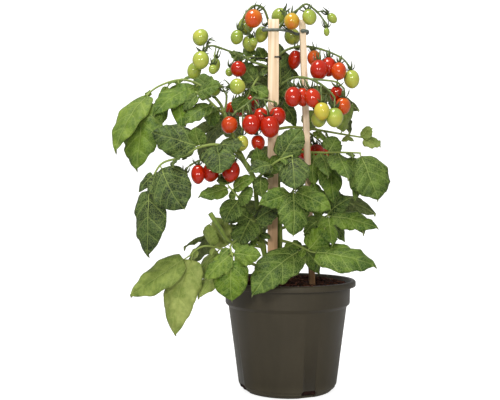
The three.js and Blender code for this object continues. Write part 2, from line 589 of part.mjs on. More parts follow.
const tieRoom = []
for (const [name, { radius, colour, route }] of Object.entries(TIES)) {
  const wire = (gap) => tube(route, { thick: radius, thin: radius, sides: WIRE_SIDES }, gap)
  add(supports, name, clearOf(wire(0), [...slatRoom, stemRoom]), colour, { roughness: 0.5, metalness: 0.1 })
  tieRoom.push(wire(CLEAR))
}

const coirBody = coir()
add(holder, 'coir', clearOf(coirBody, [...slatRoom, stemRoom]), COIR_BROWN, { roughness: 1, metalness: 0 })
add(holder, 'pot', pot(), POT_OLIVE, { roughness: 0.5, metalness: 0 })

// Where a fruit hangs, from its row in the table
function hang(truss, [where, x, y, z, width, height, ripeness]) {
  const from = where > 10 ? along(truss.branch, Math.min(where - 10, 1)) : along(truss.stalk, where)
  const centre = new THREE.Vector3(x, y, z)
  const [lean, upright] = HANG
  const crown = from.clone().sub(centre).normalize().multiplyScalar(lean)
  crown.z += upright
  crown.normalize()
  const top = centre.clone().addScaledVector(crown, (height / 2) * CROWN)
  return { from, centre, crown, top, width, height, ripe: ripeness > RIPE }
}

// The stalk, side branch and pedicels of a truss
function trussStalks(truss, hung, gap) {
  const ways = [tube(truss.stalk, TRUSS_STALK, gap)]
  if (truss.branch) ways.push(tube(truss.branch, TRUSS_BRANCH, gap))
  for (const one of hung) {
    const way = [one.from.toArray(), one.centre.toArray()]
    ways.push(one.width < BUD ? tube(way, BUD_STALK, gap) : pedicel(one, gap))
  }
  return ways
}

// Ripe fruit that touch one another are one piece. Green fruit are one piece with the stalk.
const rooms = [...slatRoom, ...tieRoom, stemRoom]
for (const [name, truss] of Object.entries(TRUSSES)) {
  const hung = truss.fruit.map((row) => hang(truss, row))
  const ripe = hung.filter((one) => one.ripe)
  const green = hung.filter((one) => !one.ripe)
  if (ripe.length) {
    const clusters = clearOf(join(ripe.map((one) => plum(one, 0))), rooms).decompose()
    clusters.sort((a, b) => a.boundingBox().min[0] - b.boundingBox().min[0])
    clusters.forEach((cluster, i) => add(plant, `${name}_ripe_${i + 1}`, cluster, RIPE_RED, GLOSSY))
  }
  const ripeRoom = ripe.map((one) => plum(one, CLEAR))
  const body = join([...trussStalks(truss, hung, 0), ...green.map((one) => plum(one, 0))])
  add(plant, name, clearOf(body, [...rooms, ...ripeRoom]), YOUNG_GREEN)
  rooms.push(join([...trussStalks(truss, hung, CLEAR), ...hung.map((one) => plum(one, CLEAR))]))
}

// A blade gives way to every stalk, and to the blades made before it
const leaves = Object.entries(LEAVES)
for (const [name, rule] of Object.entries(FAR_LEAVES)) leaves.push([name, farLeaf(rule)])
const bladesOf = (leaf, gap) => join(leaf.leaflets.map(([share, x, y, z, width]) => (
  leaflet(along(leaf.stalk, share), new THREE.Vector3(x, y, z), width, leaf.light ?? NEAR_LIGHT, gap))))
const stalkRooms = leaves.map(([, leaf]) => tube(leaf.stalk, LEAF_STALK, CLEAR))
const bladeRooms = []
leaves.forEach(([name, leaf], i) => {
  const otherStalks = stalkRooms.filter((_, j) => j !== i)
  const blades = clearOf(bladesOf(leaf, 0), [...rooms, ...otherStalks, ...bladeRooms, coirBody])
  const stalk = clearOf(tube(leaf.stalk, LEAF_STALK, 0), [...rooms, ...stalkRooms.slice(0, i)])
  add(plant, name, join([stalk, blades]), LEAF_GREEN)
  bladeRooms.push(bladesOf(leaf, CLEAR))
})

export default group
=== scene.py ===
# %% [markdown]
# # A potted plum tomato plant
#
# The plant grows in a round nursery pot full of coir. Two wooden slats hold it up, and two wires tie it to
# them. It has a main stem with a thick side branch, compound leaves with toothed leaflets, and trusses of
# small plum fruit that ripen from green through orange to red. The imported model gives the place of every
# piece. Each piece made here replaces one of its nodes and keeps that node's form, with the fine surface
# that the plain solid lacks.

# %% Load the frame
import bisect
import math
import random

import bmesh
import bpy
from mathutils import Matrix, Vector, noise


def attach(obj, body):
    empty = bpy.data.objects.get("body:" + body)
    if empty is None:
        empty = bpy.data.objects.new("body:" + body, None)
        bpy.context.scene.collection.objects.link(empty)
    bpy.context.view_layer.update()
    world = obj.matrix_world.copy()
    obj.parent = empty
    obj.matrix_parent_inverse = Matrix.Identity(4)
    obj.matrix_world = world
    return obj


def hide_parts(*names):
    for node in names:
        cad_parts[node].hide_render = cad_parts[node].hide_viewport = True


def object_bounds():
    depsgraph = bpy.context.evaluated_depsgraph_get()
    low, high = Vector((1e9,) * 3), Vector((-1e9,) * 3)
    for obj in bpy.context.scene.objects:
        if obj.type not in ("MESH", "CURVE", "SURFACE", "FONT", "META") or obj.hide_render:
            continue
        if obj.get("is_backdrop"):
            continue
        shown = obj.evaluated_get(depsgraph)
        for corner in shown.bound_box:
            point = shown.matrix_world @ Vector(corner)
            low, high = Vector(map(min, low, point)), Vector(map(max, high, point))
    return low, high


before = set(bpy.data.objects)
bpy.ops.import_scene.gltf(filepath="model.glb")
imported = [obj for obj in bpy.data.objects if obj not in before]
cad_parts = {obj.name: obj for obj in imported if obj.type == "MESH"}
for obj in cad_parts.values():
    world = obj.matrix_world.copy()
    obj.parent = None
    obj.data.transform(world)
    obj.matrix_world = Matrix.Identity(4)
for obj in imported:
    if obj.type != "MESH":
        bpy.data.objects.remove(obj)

cad_box = [list(corner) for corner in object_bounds()]
print("model box in metres:", cad_box)

# %% [markdown]
# ## Units, random draws and the view
#
# The tables below are in millimetres, as a gardener would measure them, and `MM` turns them into metres.
# Small irregularities come from one random generator with a fixed seed, in the order in which the pieces
# are made, so a new piece goes last. Ripples in leaves and slats come from Blender's vector noise. It would
# start from the clock, so it gets a fixed seed too, and the plant grows the same way every time. The camera
# stands level with the middle of the plant, about a metre in front of it. A level camera keeps the slats
# and the sides of the pot free of the slant that one looking down would give them.

# %% Units and seeds
MM = 0.001
LUCK_SEED, NOISE_SEED = 19, 1795470825
luck = random.Random(LUCK_SEED)
noise.seed_set(NOISE_SEED)


def between(low, high):
    return luck.uniform(low, high)


# %% Camera
CAMERA_PLACE = (-0.0525, -1.045, 0.263)
LENS, SENSOR = 53.6, 36


def make_camera():
    data = bpy.data.cameras.new("camera")
    data.lens = LENS
    data.sensor_width = SENSOR
    camera = bpy.data.objects.new("camera", data)
    camera.location = CAMERA_PLACE
    camera.rotation_euler = (math.radians(90), 0, 0)
    bpy.context.collection.objects.link(camera)
    bpy.context.scene.camera = camera
    return camera


camera = make_camera()
print("camera at", tuple(camera.location))

# %% [markdown]
# ## Studio
#
# A white sweep of card runs from under the pot up behind it. A floor and a wall would do, but their join
# would show, so the sweep is one row of points extruded sideways. The card glows a little to look white,
# and light linking keeps that glow off the plant, which would lose its shape in light from all sides. Two
# small lamps beside the camera put a pair of bright dots on each fruit, a large one overhead gives the
# leaves their shape, and a dim world fills the shadows under them.

# %% White sweep
SWEEP_NEAR, SWEEP_BACK, SWEEP_RADIUS, SWEEP_TOP, SWEEP_SIDE = -3.0, 2.2, 0.9, 4.0, 3.5
SWEEP_STEPS, UNDER_POT = 12, 0.0004
CARD_GREY, CARD_GLOW = 0.5, 0.8


def make_sweep():
    bm = bmesh.new()
    profile = [(SWEEP_NEAR, 0)]
    for step in range(SWEEP_STEPS + 1):
        angle = math.radians(90 * step / SWEEP_STEPS)
        profile.append((SWEEP_BACK - SWEEP_RADIUS + SWEEP_RADIUS * math.sin(angle),
                        SWEEP_RADIUS - SWEEP_RADIUS * math.cos(angle)))
    profile.append((SWEEP_BACK, SWEEP_TOP))
    corners = [bm.verts.new((-SWEEP_SIDE, y, z - UNDER_POT)) for y, z in profile]
    edges = [bm.edges.new(pair) for pair in zip(corners, corners[1:])]
    pulled = bmesh.ops.extrude_edge_only(bm, edges=edges)["geom"]
    moved = [part for part in pulled if isinstance(part, bmesh.types.BMVert)]
    bmesh.ops.translate(bm, verts=moved, vec=(2 * SWEEP_SIDE, 0, 0))
    for face in bm.faces:
        face.smooth = True
        face.normal_update()
        if face.normal.z < -0.01 or face.normal.y > 0.01:
            face.normal_flip()
    mesh = bpy.data.meshes.new("studio_sweep")
    bm.to_mesh(mesh)
    bm.free()
    sweep = bpy.data.objects.new("studio_sweep", mesh)
    bpy.context.collection.objects.link(sweep)
    card = bpy.data.materials.new("white_card")
    card.use_nodes = True
    shader = card.node_tree.nodes["Principled BSDF"]
    shader.inputs["Base Color"].default_value = (CARD_GREY, CARD_GREY, CARD_GREY, 1)
    shader.inputs["Roughness"].default_value = 0.9
    shader.inputs["Emission Color"].default_value = (1, 1, 1, 1)
    shader.inputs["Emission Strength"].default_value = CARD_GLOW
    mesh.materials.append(card)
    alone = bpy.data.collections.new("lit_by_the_card")
    alone.objects.link(sweep)
    sweep.light_linking.receiver_collection = alone
    sweep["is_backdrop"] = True
    print("sweep faces:", len(mesh.polygons))


make_sweep()

# %% Lights
MIDDLE = Vector((0, 0, 0.25))
WARM = (1, 0.985, 0.95)


def area_light(name, place, width, watts, tint=(1, 1, 1)):
    """A square lamp that faces the middle of the plant."""
    data = bpy.data.lights.new(name, "AREA")
    data.size = width
    data.energy = watts
    data.color = tint
    lamp = bpy.data.objects.new(name, data)
    lamp.location = place
    lamp.rotation_euler = (MIDDLE - Vector(place)).to_track_quat("-Z", "Y").to_euler()
    bpy.context.collection.objects.link(lamp)
    print(f"{name}: {watts} W")


area_light("flash_left", (-0.6, -1.9, 0.85), 0.3, 12.5, WARM)
area_light("flash_right", (0.45, -1.95, 0.85), 0.3, 11.5, WARM)
area_light("overhead", (-0.4, -0.5, 2.1), 0.7, 28)

# %% World
WORLD_LIGHT = 0.34
world = bpy.data.worlds.new("studio")
world.use_nodes = True
world.node_tree.nodes["Background"].inputs["Color"].default_value = (1, 1, 1, 1)
world.node_tree.nodes["Background"].inputs["Strength"].default_value = WORLD_LIGHT
bpy.context.scene.world = world
bpy.context.scene.view_settings.view_transform = "Standard"

# %% [markdown]
# ## A small kit for shader nodes
#
# Every finish is a Principled shader fed by a few nodes. They could be laid out by hand in the editor, but
# one call for each node keeps a finish short enough to read: `knot` adds a node and plugs in its values,
# `mixed` adds up numbers by their weights, `ramp` turns a number into a colour, and `cloudy` is the noise
# that breaks up every surface.


# %% Colours and nodes
def paint(red, green, blue):
    """A colour as painters write it, in sRGB from 0 to 255, made the linear one that a shader reads."""
    shares = [channel / 255 for channel in (red, green, blue)]
    linear = [share / 12.92 if share <= 0.04045 else ((share + 0.055) / 1.055) ** 2.4 for share in shares]
    return (*linear, 1)


def plug(tree, socket, value):
    if isinstance(value, bpy.types.NodeSocket):
        tree.links.new(value, socket)
    else:
        socket.default_value = value


def knot(tree, kind, inputs=None, **settings):
    """Adds a shader node and returns its outputs. Inputs go by name or by number."""
    made = tree.nodes.new("ShaderNode" + kind)
    for name, value in settings.items():
        setattr(made, name, value)
    for name, value in (inputs or {}).items():
        plug(tree, made.inputs[name], value)
    return made.outputs


def sums(tree, operation, *values):
    return knot(tree, "Math", dict(enumerate(values)), operation=operation)[0]


def mixed(tree, *parts):
    """Adds up numbers, each times its weight."""
    weighted = [value if weight == 1 else sums(tree, "MULTIPLY", value, weight) for value, weight in parts]
    total = weighted[0]
    for value in weighted[1:]:
        total = sums(tree, "ADD", total, value)
    return total


# %% Ranges, ramps and noise
def scaled(tree, value, low, high, to_low=0.0, to_high=1.0):
    """A number moved smoothly from one range to another, and held at its ends."""
    inputs = {"Value": value, "From Min": low, "From Max": high, "To Min": to_low, "To Max": to_high}
    return knot(tree, "MapRange", inputs, interpolation_type="SMOOTHSTEP")[0]


def blend_colours(tree, share, first, second):
    inputs = {"Factor": share, 6: first, 7: second}
    return knot(tree, "Mix", inputs, data_type="RGBA")[2]


def ramp(tree, value, stops):
    made = tree.nodes.new("ShaderNodeValToRGB")
    tree.links.new(value, made.inputs["Fac"])
    points = made.color_ramp.elements
    while len(points) < len(stops):
        points.new(0.5)
    for point, (place, colour) in zip(points, stops):
        point.position = place
        point.color = colour
    return made.outputs["Color"]


def cloudy(tree, scale, stretch=(1, 1, 1), detail=4.0):
    """A noise from 0 to 1 in the object's own space, stretched along an axis where stretch is small."""
    where = knot(tree, "TexCoord")["Object"]
    moved = knot(tree, "Mapping", {"Vector": where, "Scale": stretch})[0]
    return knot(tree, "TexNoise", {"Vector": moved, "Scale": scale, "Detail": detail})["Fac"]


def height_above_floor(tree):
    return knot(tree, "SeparateXYZ", {0: knot(tree, "TexCoord")["Object"]})["Z"]


# %% A new finish
def new_finish(name, roughness, **sockets):
    """A Principled material. Its sockets that stay the same all over are set here, by name."""
    finish = bpy.data.materials.new(name)
    finish.use_nodes = True
    shader = finish.node_tree.nodes["Principled BSDF"]
    shader.inputs["Roughness"].default_value = roughness
    for name, value in sockets.items():
        shader.inputs[name.replace("_", " ")].default_value = value
    return finish, finish.node_tree, shader.inputs


def raise_surface(tree, surface, height, strength, depth):
    bump = knot(tree, "Bump", {"Height": height, "Strength": strength, "Distance": depth})
    tree.links.new(bump["Normal"], surface["Normal"])


# %% [markdown]
# ## From a mesh to a finished piece
#
# A piece could be modelled around its own middle and its object moved, but then its place would be kept
# apart from its shape. So each piece is built in place, around the origin of the whole plant, and its
# object is never moved. It rides on the one body of the model, replaces the nodes that it stands for, and
# takes its finish from a slot.


# %% Finish a piece
def finished(name, bm, finishes, nodes):
    for face in bm.faces:
        face.smooth = True
    mesh = bpy.data.meshes.new(name)
    bm.to_mesh(mesh)
    bm.free()
    for finish in finishes:
        mesh.materials.append(finish)
    piece = bpy.data.objects.new(name, mesh)
    bpy.context.collection.objects.link(piece)
    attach(piece, "root")
    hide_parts(*nodes)
    triangles = sum(len(face.vertices) - 2 for face in mesh.polygons)
    print(f"{name}: {triangles} triangles")
    return piece


# %% [markdown]
# ## Smooth routes and round stalks
#
# A stem, a stalk and a wire all follow a route of a few points. Bezier handles could round it, but each
# would need setting, so the line is a centripetal Catmull-Rom curve, which goes through the points and
# never loops between two of them. It is walked in even steps, so that a share of the way means the same on
# every stalk. The stalks of one piece are the splines of one Blender curve, each with its own thickness at
# each step, and the curve is then made a mesh.


# %% A smooth line through a route
def on_curve(stops, share):
    """The place on the line at a share of its run of stops, each of which takes an equal share."""
    reach = share * (len(stops) - 1)
    at = min(int(reach), len(stops) - 2)
    t = reach - at
    b, c = stops[at], stops[at + 1]
    a = stops[at - 1] if at > 0 else b * 2 - c
    d = stops[at + 2] if at + 2 < len(stops) else c * 2 - b
    before, here, after = [math.sqrt(max((q - p).length, 1e-7)) for p, q in ((a, b), (b, c), (c, d))]
    leave = ((b - a) / before - (c - a) / (before + here) + (c - b) / here) * here
    arrive = ((c - b) / here - (d - b) / (here + after) + (d - c) / after) * here
    return (b * (2 * t**3 - 3 * t**2 + 1) + leave * (t**3 - 2 * t**2 + t)
            + c * (3 * t**2 - 2 * t**3) + arrive * (t**3 - t**2))


# %% Walk along it
FINE_STEPS = 200
STALK_END = 0.985


def walk(route, steps):
    """Points in metres, evenly spaced along the smooth line through a route in millimetres."""
    stops = [Vector(point) * MM for point in route]
    fine = [on_curve(stops, i / FINE_STEPS) for i in range(FINE_STEPS + 1)]
    run = [0.0]
    for a, b in zip(fine, fine[1:]):
        run.append(run[-1] + (b - a).length)
    points = []
    for i in range(steps + 1):
        target = run[-1] * i / steps
        at = min(max(bisect.bisect_left(run, target), 1), FINE_STEPS)
        part = (target - run[at - 1]) / (run[at] - run[at - 1])
        points.append(on_curve(stops, (at - 1 + part) / FINE_STEPS))
    return points


def along(route, share):
    """The place on a route that something grows from. What grows at its end is sunk into it a little."""
    return walk(route, FINE_STEPS)[round(min(share, STALK_END) * FINE_STEPS)]


# %% Turn stalks into a mesh
def stalks_mesh(ways, fineness=2):
    """Round tapering stalks. Each way is its points, its radius at each point and its finish number."""
    curve = bpy.data.curves.new("stalks", "CURVE")
    curve.dimensions = "3D"
    curve.bevel_depth = 1.0
    curve.bevel_resolution = fineness
    curve.use_fill_caps = True
    for points, radii, finish in ways:
        spline = curve.splines.new("POLY")
        spline.points.add(len(points) - 1)
        spline.material_index = finish
        for stop, point, radius in zip(spline.points, points, radii):
            stop.co = (*point, 1)
            stop.radius = radius
    holder = bpy.data.objects.new("stalks", curve)
    mesh = bpy.data.meshes.new_from_object(holder)
    bpy.data.objects.remove(holder)
    bpy.data.curves.remove(curve)
    return mesh


WELD = 1e-6


def add_stalks(bm, ways, fineness=2):
    """Adds stalks to a mesh in the making, and closes their ends."""
    mesh = stalks_mesh(ways, fineness)
    known = set(bm.verts)
    bm.from_mesh(mesh)
    bpy.data.meshes.remove(mesh)
    bmesh.ops.remove_doubles(bm, verts=[vert for vert in bm.verts if vert not in known], dist=WELD)


def taper(thick, thin, steps):
    """The radius in metres at each step of a stalk that thins evenly."""
    return [(thick + (thin - thick) * i / steps) * MM for i in range(steps + 1)]


# %% [markdown]
# ## Where everything grows
#
# A plant has no drawing, so its layout is a list of places, the same places as the solids have, in
# millimetres. A particle or growth system could scatter leaves, but no leaf would then hang where the real
# one does. A row of leaflets is the share of the leaf's stalk that it grows from, the place of its tip and
# its width. A row of fruit is the share of the truss's stalk, the middle of the fruit, its width, its
# height and its ripeness from 0, green, to 1, red. A share of 10 or more is on the truss's branch, counted
# from 10. Leaves on the far side need only a start, a heading in degrees, a reach, a rise and a size.

# %% Stems and ties
# Two stems, and the stub of a leaf that was cut off, swollen at its end
STEMS = [
    {"thick": 3.9, "thin": 2.2, "route": [(-10, -34, 70), (-10, -35, 146), (-12, -40, 179),
        (-13, -45, 225), (-14, -45, 270), (-18, -42.5, 335), (-21, -38, 398), (-22, -36, 453),
        (-21, -34, 489)]},
    {"thick": 3.9, "thin": 2.6, "route": [(-10, -34, 82), (-18, -35, 122), (-25, -38, 147),
        (-31, -44, 180), (-39, -52, 223), (-44, -60, 264), (-47, -62, 290), (-66, -64, 325),
        (-79, -65, 359), (-87, -62, 377)]},
    {"thick": 1.8, "thin": 3.2, "route": [(-35, -48, 200), (-55, -60, 204), (-80, -76, 210),
        (-91, -92, 227), (-103, -100, 246)]},
]

# Soft wire round both slats, with a bent knob at each end, and a sleeved one round the main stem
TIES = {
    "tie_top": {"radius": 1.9, "route": [(-37, -56, 489), (-30, -56.7, 489), (-13, -56.7, 489),
        (2, -46, 489), (11, -31.5, 489), (18, -30.7, 489), (24.6, -33, 489), (25.2, -42, 489),
        (23.5, -50.2, 489), (15, -50.6, 489)]},
    "tie_lower": {"radius": 1.7, "route": [(-52, -50, 453), (-41, -48, 453), (-31, -42, 453),
        (-27, -33.5, 453), (-21, -31, 453), (-14.5, -34, 453), (-11.8, -46, 453), (-12.6, -56.2, 453),
        (-20, -57.3, 453)]},
}

# %% Leaves in front
LEAVES = {
    "leaf_left_high": {
        "stalk": [(-87, -62, 377), (-92, -50, 391), (-117, -35, 417), (-145, -30, 427), (-177, -35, 417),
            (-197, -45, 399)],
        "leaflets": [(0.42, -178, -75, 376, 44), (1, -201, -80, 303, 62), (0.9, -229, -84, 329, 44),
            (0.7, -190, -20, 348, 38), (0.62, -142, -76, 353, 28), (0.55, -146, 10, 434, 30),
            (0.25, -133, 25, 441, 30)]},
    "leaf_left_inner": {
        "stalk": [(-87, -62, 377), (-97, -74, 384), (-110, -78, 396), (-124, -76, 404)],
        "leaflets": [(0.95, -91, -100, 410, 32), (0.45, -136, -92, 362, 32), (0.4, -106, -62, 360, 28),
            (0.9, -140, -72, 380, 24)]},
    "leaf_left_middle": {
        "stalk": [(-64, -64, 321), (-91, -84, 334), (-118, -96, 330), (-142, -99, 317), (-165, -98, 309),
            (-182, -95, 281)],
        "leaflets": [(0.42, -177, -100, 349, 46), (0.42, -121, -107, 354, 24), (0.8, -134, -120, 252, 56),
            (1, -182, -105, 192, 48), (0.28, -90, -125, 296, 44), (0.26, -62, -102, 333, 32),
            (0.88, -198, -80, 274, 18)]},
    "leaf_centre_left": {
        "stalk": [(-40, -53, 226), (-58, -68, 252), (-68, -85, 267), (-81, -90, 282)],
        "leaflets": [(0.95, -117, -100, 268, 28), (0.75, -50, -105, 268, 30), (0.7, -84, -107, 235, 32),
            (1, -86, -72, 300, 26), (0.5, -80, -50, 240, 28), (0.9, -46, -92, 292, 26)]},
    "leaf_low_dark": {
        "stalk": [(-37, -50, 212), (-43, -58, 228), (-52, -70, 238)],
        "leaflets": [(1, -68, -92, 206, 40), (0.8, -14, -80, 256, 34), (0.45, -50, -20, 204, 32),
            (0.9, -82, -84, 256, 28)]},
    "leaf_front_centre": {
        "stalk": [(-13, -45, 231), (-6, -78, 258), (3, -100, 277)],
        "leaflets": [(1, 2, -125, 220, 45), (0.9, -40, -118, 259, 34), (0.95, 49, -112, 253, 38)]},
    "leaf_front_upper": {
        "stalk": [(-46, -62, 288), (-31, -78, 302), (-17, -92, 313), (2, -100, 320)],
        "leaflets": [(1, 3, -126, 278, 44), (0.55, -52, -110, 300, 27), (0.7, 14, -94, 354, 38),
            (0.25, -44, -86, 330, 24), (0.35, -10, -88, 318, 26), (0.2, -37, -92, 266, 22)]},
    "leaf_right_large": {
        "stalk": [(-18, -42, 331), (4, -34, 330), (28, -30, 328), (50, -52, 326), (70, -74, 325),
            (92, -78, 324)],
        "leaflets": [(1, 111, -100, 264, 60), (0.9, 84, -85, 262, 26), (0.75, 72, -110, 291, 42),
            (0.42, 32, -66, 283, 26), (0.5, 48, -92, 295, 27), (0.62, 64, -40, 349, 29),
            (0.6, 58, -70, 258, 36)]},
    "leaf_right_low": {
        "stalk": [(-13, -45, 224), (4, -37, 229), (27, -32, 233), (43, -43, 238), (49, -74, 243)],
        "leaflets": [(1, 52, -107, 207, 33), (0.97, 111, -92, 228, 34), (0.9, 76, -80, 266, 30),
            (0.5, 27, -18, 212, 24), (0.8, 75, -50, 208, 26), (0.7, 30, -62, 288, 29),
            (0.75, 18, -98, 222, 26)]},
    "leaf_front_right": {
        "stalk": [(-12.5, -43, 209), (6, -66, 205), (25, -96, 197)],
        "leaflets": [(1, 103, -124, 183, 54), (0.9, 42, -100, 226, 34), (0.75, 40, -66, 166, 26),
            (0.75, -50, -126, 146, 54), (0.45, 10, -78, 200, 18)]},
    "leaf_front_left": {
        "stalk": [(-35, -48, 202), (-58, -70, 213), (-77, -98, 205), (-74, -110, 191)],
        "leaflets": [(1, -75, -122, 138, 46), (0.93, -109, -118, 166, 32), (0.93, -39, -118, 194, 30)]},
    "leaf_left_low": {
        "stalk": [(-28, -42, 168), (-58, -54, 182), (-86, -72, 198), (-114, -84, 203), (-132, -90, 190)],
        "leaflets": [(1, -207, -90, 141, 46), (0.93, -148, -108, 93, 48), (0.72, -104, -98, 232, 24),
            (0.5, -119, -102, 139, 32), (0.62, -126, -66, 156, 30), (0.55, -100, -44, 240, 30)]},
    "leaf_between_slats": {
        "stalk": [(-21, -38, 400), (-11, -24, 414)],
        "leaflets": [(1, -11, -10, 480, 44), (0.6, 10, -20, 423, 30), (0.3, 12, -22, 364, 28)]},
    "leaf_right_middle": {
        "stalk": [(-19, -41, 358), (5, -24, 363), (31, -20, 361), (72, -30, 353), (102, -40, 347)],
        "leaflets": [(0.75, 88, -34, 392, 32), (1, 122, -50, 336, 24), (0.95, 111, -44, 360, 24),
            (0.5, 50, -40, 343, 24), (0.35, 47, 5, 387, 29)]},
    "leaf_top_left": {
        "stalk": [(-22, -36, 448), (-36, -34, 454), (-48, -34, 457), (-60, -36, 456)],
        "leaflets": [(1, -80, -42, 462, 17), (0.7, -58, -22, 476, 17), (0.3, -43, -18, 474, 20)]},
    "leaf_upper_left": {
        "stalk": [(-22, -37, 444), (-33, -41, 440), (-40, -44, 430), (-48, -48, 417), (-56, -53, 400)],
        "leaflets": [(0.75, -29, -62, 400, 24), (0.6, -64, -30, 450, 26), (0.45, -30, -22, 426, 26),
            (1, -73, -62, 380, 28)]},
}

# How fresh a green each leaf is, from 0 for an old dark leaf through 1 for a fresh one to 2 for a faded
# one.
# A low tone on a leaf deep in the plant is also painted shade.
LEAF_TONE_AND_SHADE = {
    "leaf_left_high": 0.95, "leaf_left_inner": 0.35, "leaf_left_middle": 0.2, "leaf_centre_left": 0.6,
    "leaf_low_dark": 0.15, "leaf_front_centre": 0.8, "leaf_front_upper": 0.3, "leaf_right_large": 0.45,
    "leaf_right_low": 0.5, "leaf_front_right": 0.6, "leaf_front_left": 0.9, "leaf_left_low": 1.85,
    "leaf_between_slats": 0.4, "leaf_right_middle": 1.4, "leaf_top_left": 0.5, "leaf_upper_left": 0.4,
}
# How far a leaf has dried and curled, where 0 is a fresh one
CRUMPLED = {"leaf_right_middle": 1}

# %% Leaves on the far side
FAR_LEAVES = {
    "leaf_back_low_left": ((-12, -41, 188), 142, 118, 34, 60),
    "leaf_back_low": ((-12.7, -44, 216), 100, 122, 40, 66),
    "leaf_back_low_right": ((-13.6, -45, 246), 42, 128, 22, 64),
    "leaf_back_middle": ((-16, -44, 296), 78, 118, 44, 66),
    "leaf_back_left": ((-18.5, -42, 344), 128, 128, 40, 64),
    "leaf_back_right": ((-19.6, -40, 372), 40, 108, 44, 56),
    "leaf_back_high": ((-21.3, -37.5, 412), 96, 84, 40, 50),
}

# %% Trusses
TRUSSES = {
    "truss_top_left": {
        "stalk": [(-21, -34, 486), (-28, -40, 506), (-34, -46, 519), (-43, -50, 523), (-54, -52, 517),
            (-63, -52, 501), (-64, -51, 491)],
        "fruit": [(0.45, -48, -64, 502, 23, 26, 0.6), (0.62, -58, -40, 498, 21, 24, 0.1),
            (1, -70, -53, 480, 17, 20, 0.05), (0.8, -53, -42, 474, 20, 22, 0.1),
            (0.9, -48, -61, 472, 12, 12, 0.05), (0.2, -37, -34, 488, 18, 23, 0.1)]},
    "truss_top_right": {
        "stalk": [(-21, -34, 483), (-13, -33, 496), (-2, -35, 511), (12, -40, 520), (23, -42, 527),
            (32, -44, 521), (41, -45, 512), (50, -46, 499)],
        "fruit": [(0.3, -12, -20, 516, 22, 25, 0.1), (0.35, 3, -58, 500, 21, 24, 0.45),
            (0.55, 26, -60, 505, 19, 23, 0.08), (0.2, 6, -16, 489, 22, 24, 0.15),
            (0.8, 58, -42, 508, 12, 16, 0.05), (1, 50, -49, 488, 8, 12, 0.03)]},
    "truss_left": {
        "stalk": [(-22, -37, 440), (-34, -50, 443), (-48, -53, 447), (-62, -51, 455), (-78, -51, 461),
            (-94, -54, 466), (-103, -56, 468), (-112, -58, 465)],
        "fruit": [(1, -118, -60, 478, 23, 21, 0.12), (1, -117, -70, 446, 22, 25, 0.1),
            (0.96, -127, -50, 436, 19, 23, 0.08), (0.8, -99, -54, 442, 14, 21, 0.08),
            (0.85, -101, -70, 434, 12, 13, 0.05), (0.42, -68, -62, 436, 21, 21, 1),
            (0.55, -80, -50, 434, 11, 12, 0.05)]},
    "truss_left_young": {
        "stalk": [(-87, -62, 377), (-84, -64, 390), (-83, -70, 401)],
        "fruit": [(1, -69, -74, 411, 21, 21, 0.12), (0.9, -101, -60, 410, 20, 20, 0.1)]},
    "truss_centre": {
        "stalk": [(-21, -38, 401), (-38, -50, 403), (-47, -66, 397), (-56, -76, 388), (-67, -80, 380)],
        "branch": [(-47, -66, 397), (-32, -78, 393), (-18, -78, 389)],
        "fruit": [(0.8, -51, -88, 360, 23, 27, 1), (10.5, -27, -89, 357, 25, 29, 1),
            (0.6, -38, -75, 371, 22, 25, 1), (11, -17, -77, 372, 22, 25, 1),
            (1, -79, -84, 360, 21, 23, 0.75), (0.9, -63, -80, 337, 17, 21, 0.2),
            (0.75, -42, -72, 338, 18, 21, 0.9)]},
    "truss_left_low": {
        "stalk": [(-56, -63, 305), (-68, -70, 319), (-88, -74, 322), (-106, -80, 318), (-120, -84, 313),
            (-131, -86, 307)],
        "fruit": [(0.85, -119, -92, 296, 18, 26, 1), (0.6, -103, -86, 299, 22, 26, 1),
            (0.3, -77, -90, 300, 23, 30, 1), (1, -137, -92, 292, 10, 12, 0.3)]},
    "truss_right_high": {
        "stalk": [(-22, -36.5, 452), (-3, -32, 467), (17, -27, 473), (37, -36, 469), (55, -46, 461),
            (71, -54, 451), (79, -58, 440)],
        "fruit": [(0.35, 9, -22, 456, 18, 27, 1), (0.5, 34, -42, 454, 19, 22, 0.65),
            (0.6, 38, -67, 434, 24, 28, 1), (0.7, 52, -55, 440, 21, 27, 0.95),
            (0.85, 64, -68, 432, 20, 25, 0.7), (1, 82, -60, 423, 21, 25, 0.15)]},
    "truss_right": {
        "stalk": [(-20.7, -38, 412), (0, -50, 424), (12, -68, 424), (26, -78, 420), (42, -81, 411),
            (52, -82, 402), (58, -82, 394)],
        "branch": [(26, -78, 420), (44, -82, 418), (60, -83, 415), (70, -80, 407)],
        "fruit": [(0.35, 3, -85, 396, 22, 28, 1), (0.45, 16, -76, 397, 19, 25, 0.85),
            (0.5, 28, -88, 394, 21, 26, 0.85), (10.75, 61, -68, 402, 18, 23, 1),
            (11, 68, -78, 385, 20, 23, 0.65), (0.75, 39, -96, 376, 20, 24, 0.3),
            (0.7, 37, -76, 368, 20, 21, 0.12), (1, 56, -90, 369, 22, 26, 0.12)]},
    "truss_back_left": {
        "stalk": [(-20.5, -39, 394), (-34, -14, 420), (-52, 8, 428), (-70, 20, 416)],
        "fruit": [(0.55, -51, 12, 400, 22, 27, 1), (0.8, -67, 3, 394, 21, 26, 1),
            (1, -78, 18, 392, 20, 24, 0.8), (0.85, -58, 38, 400, 18, 22, 0.15)]},
    "truss_back_right": {
        "stalk": [(-18, -42.5, 338), (2, -10, 356), (28, 14, 360), (48, 26, 348)],
        "fruit": [(0.6, 24, 20, 334, 22, 27, 1), (0.8, 42, 10, 330, 22, 26, 1),
            (1, 54, 26, 328, 21, 25, 0.9), (0.85, 32, 42, 338, 18, 21, 0.2)]},
}
many = sum(len(leaf["leaflets"]) for leaf in LEAVES.values())
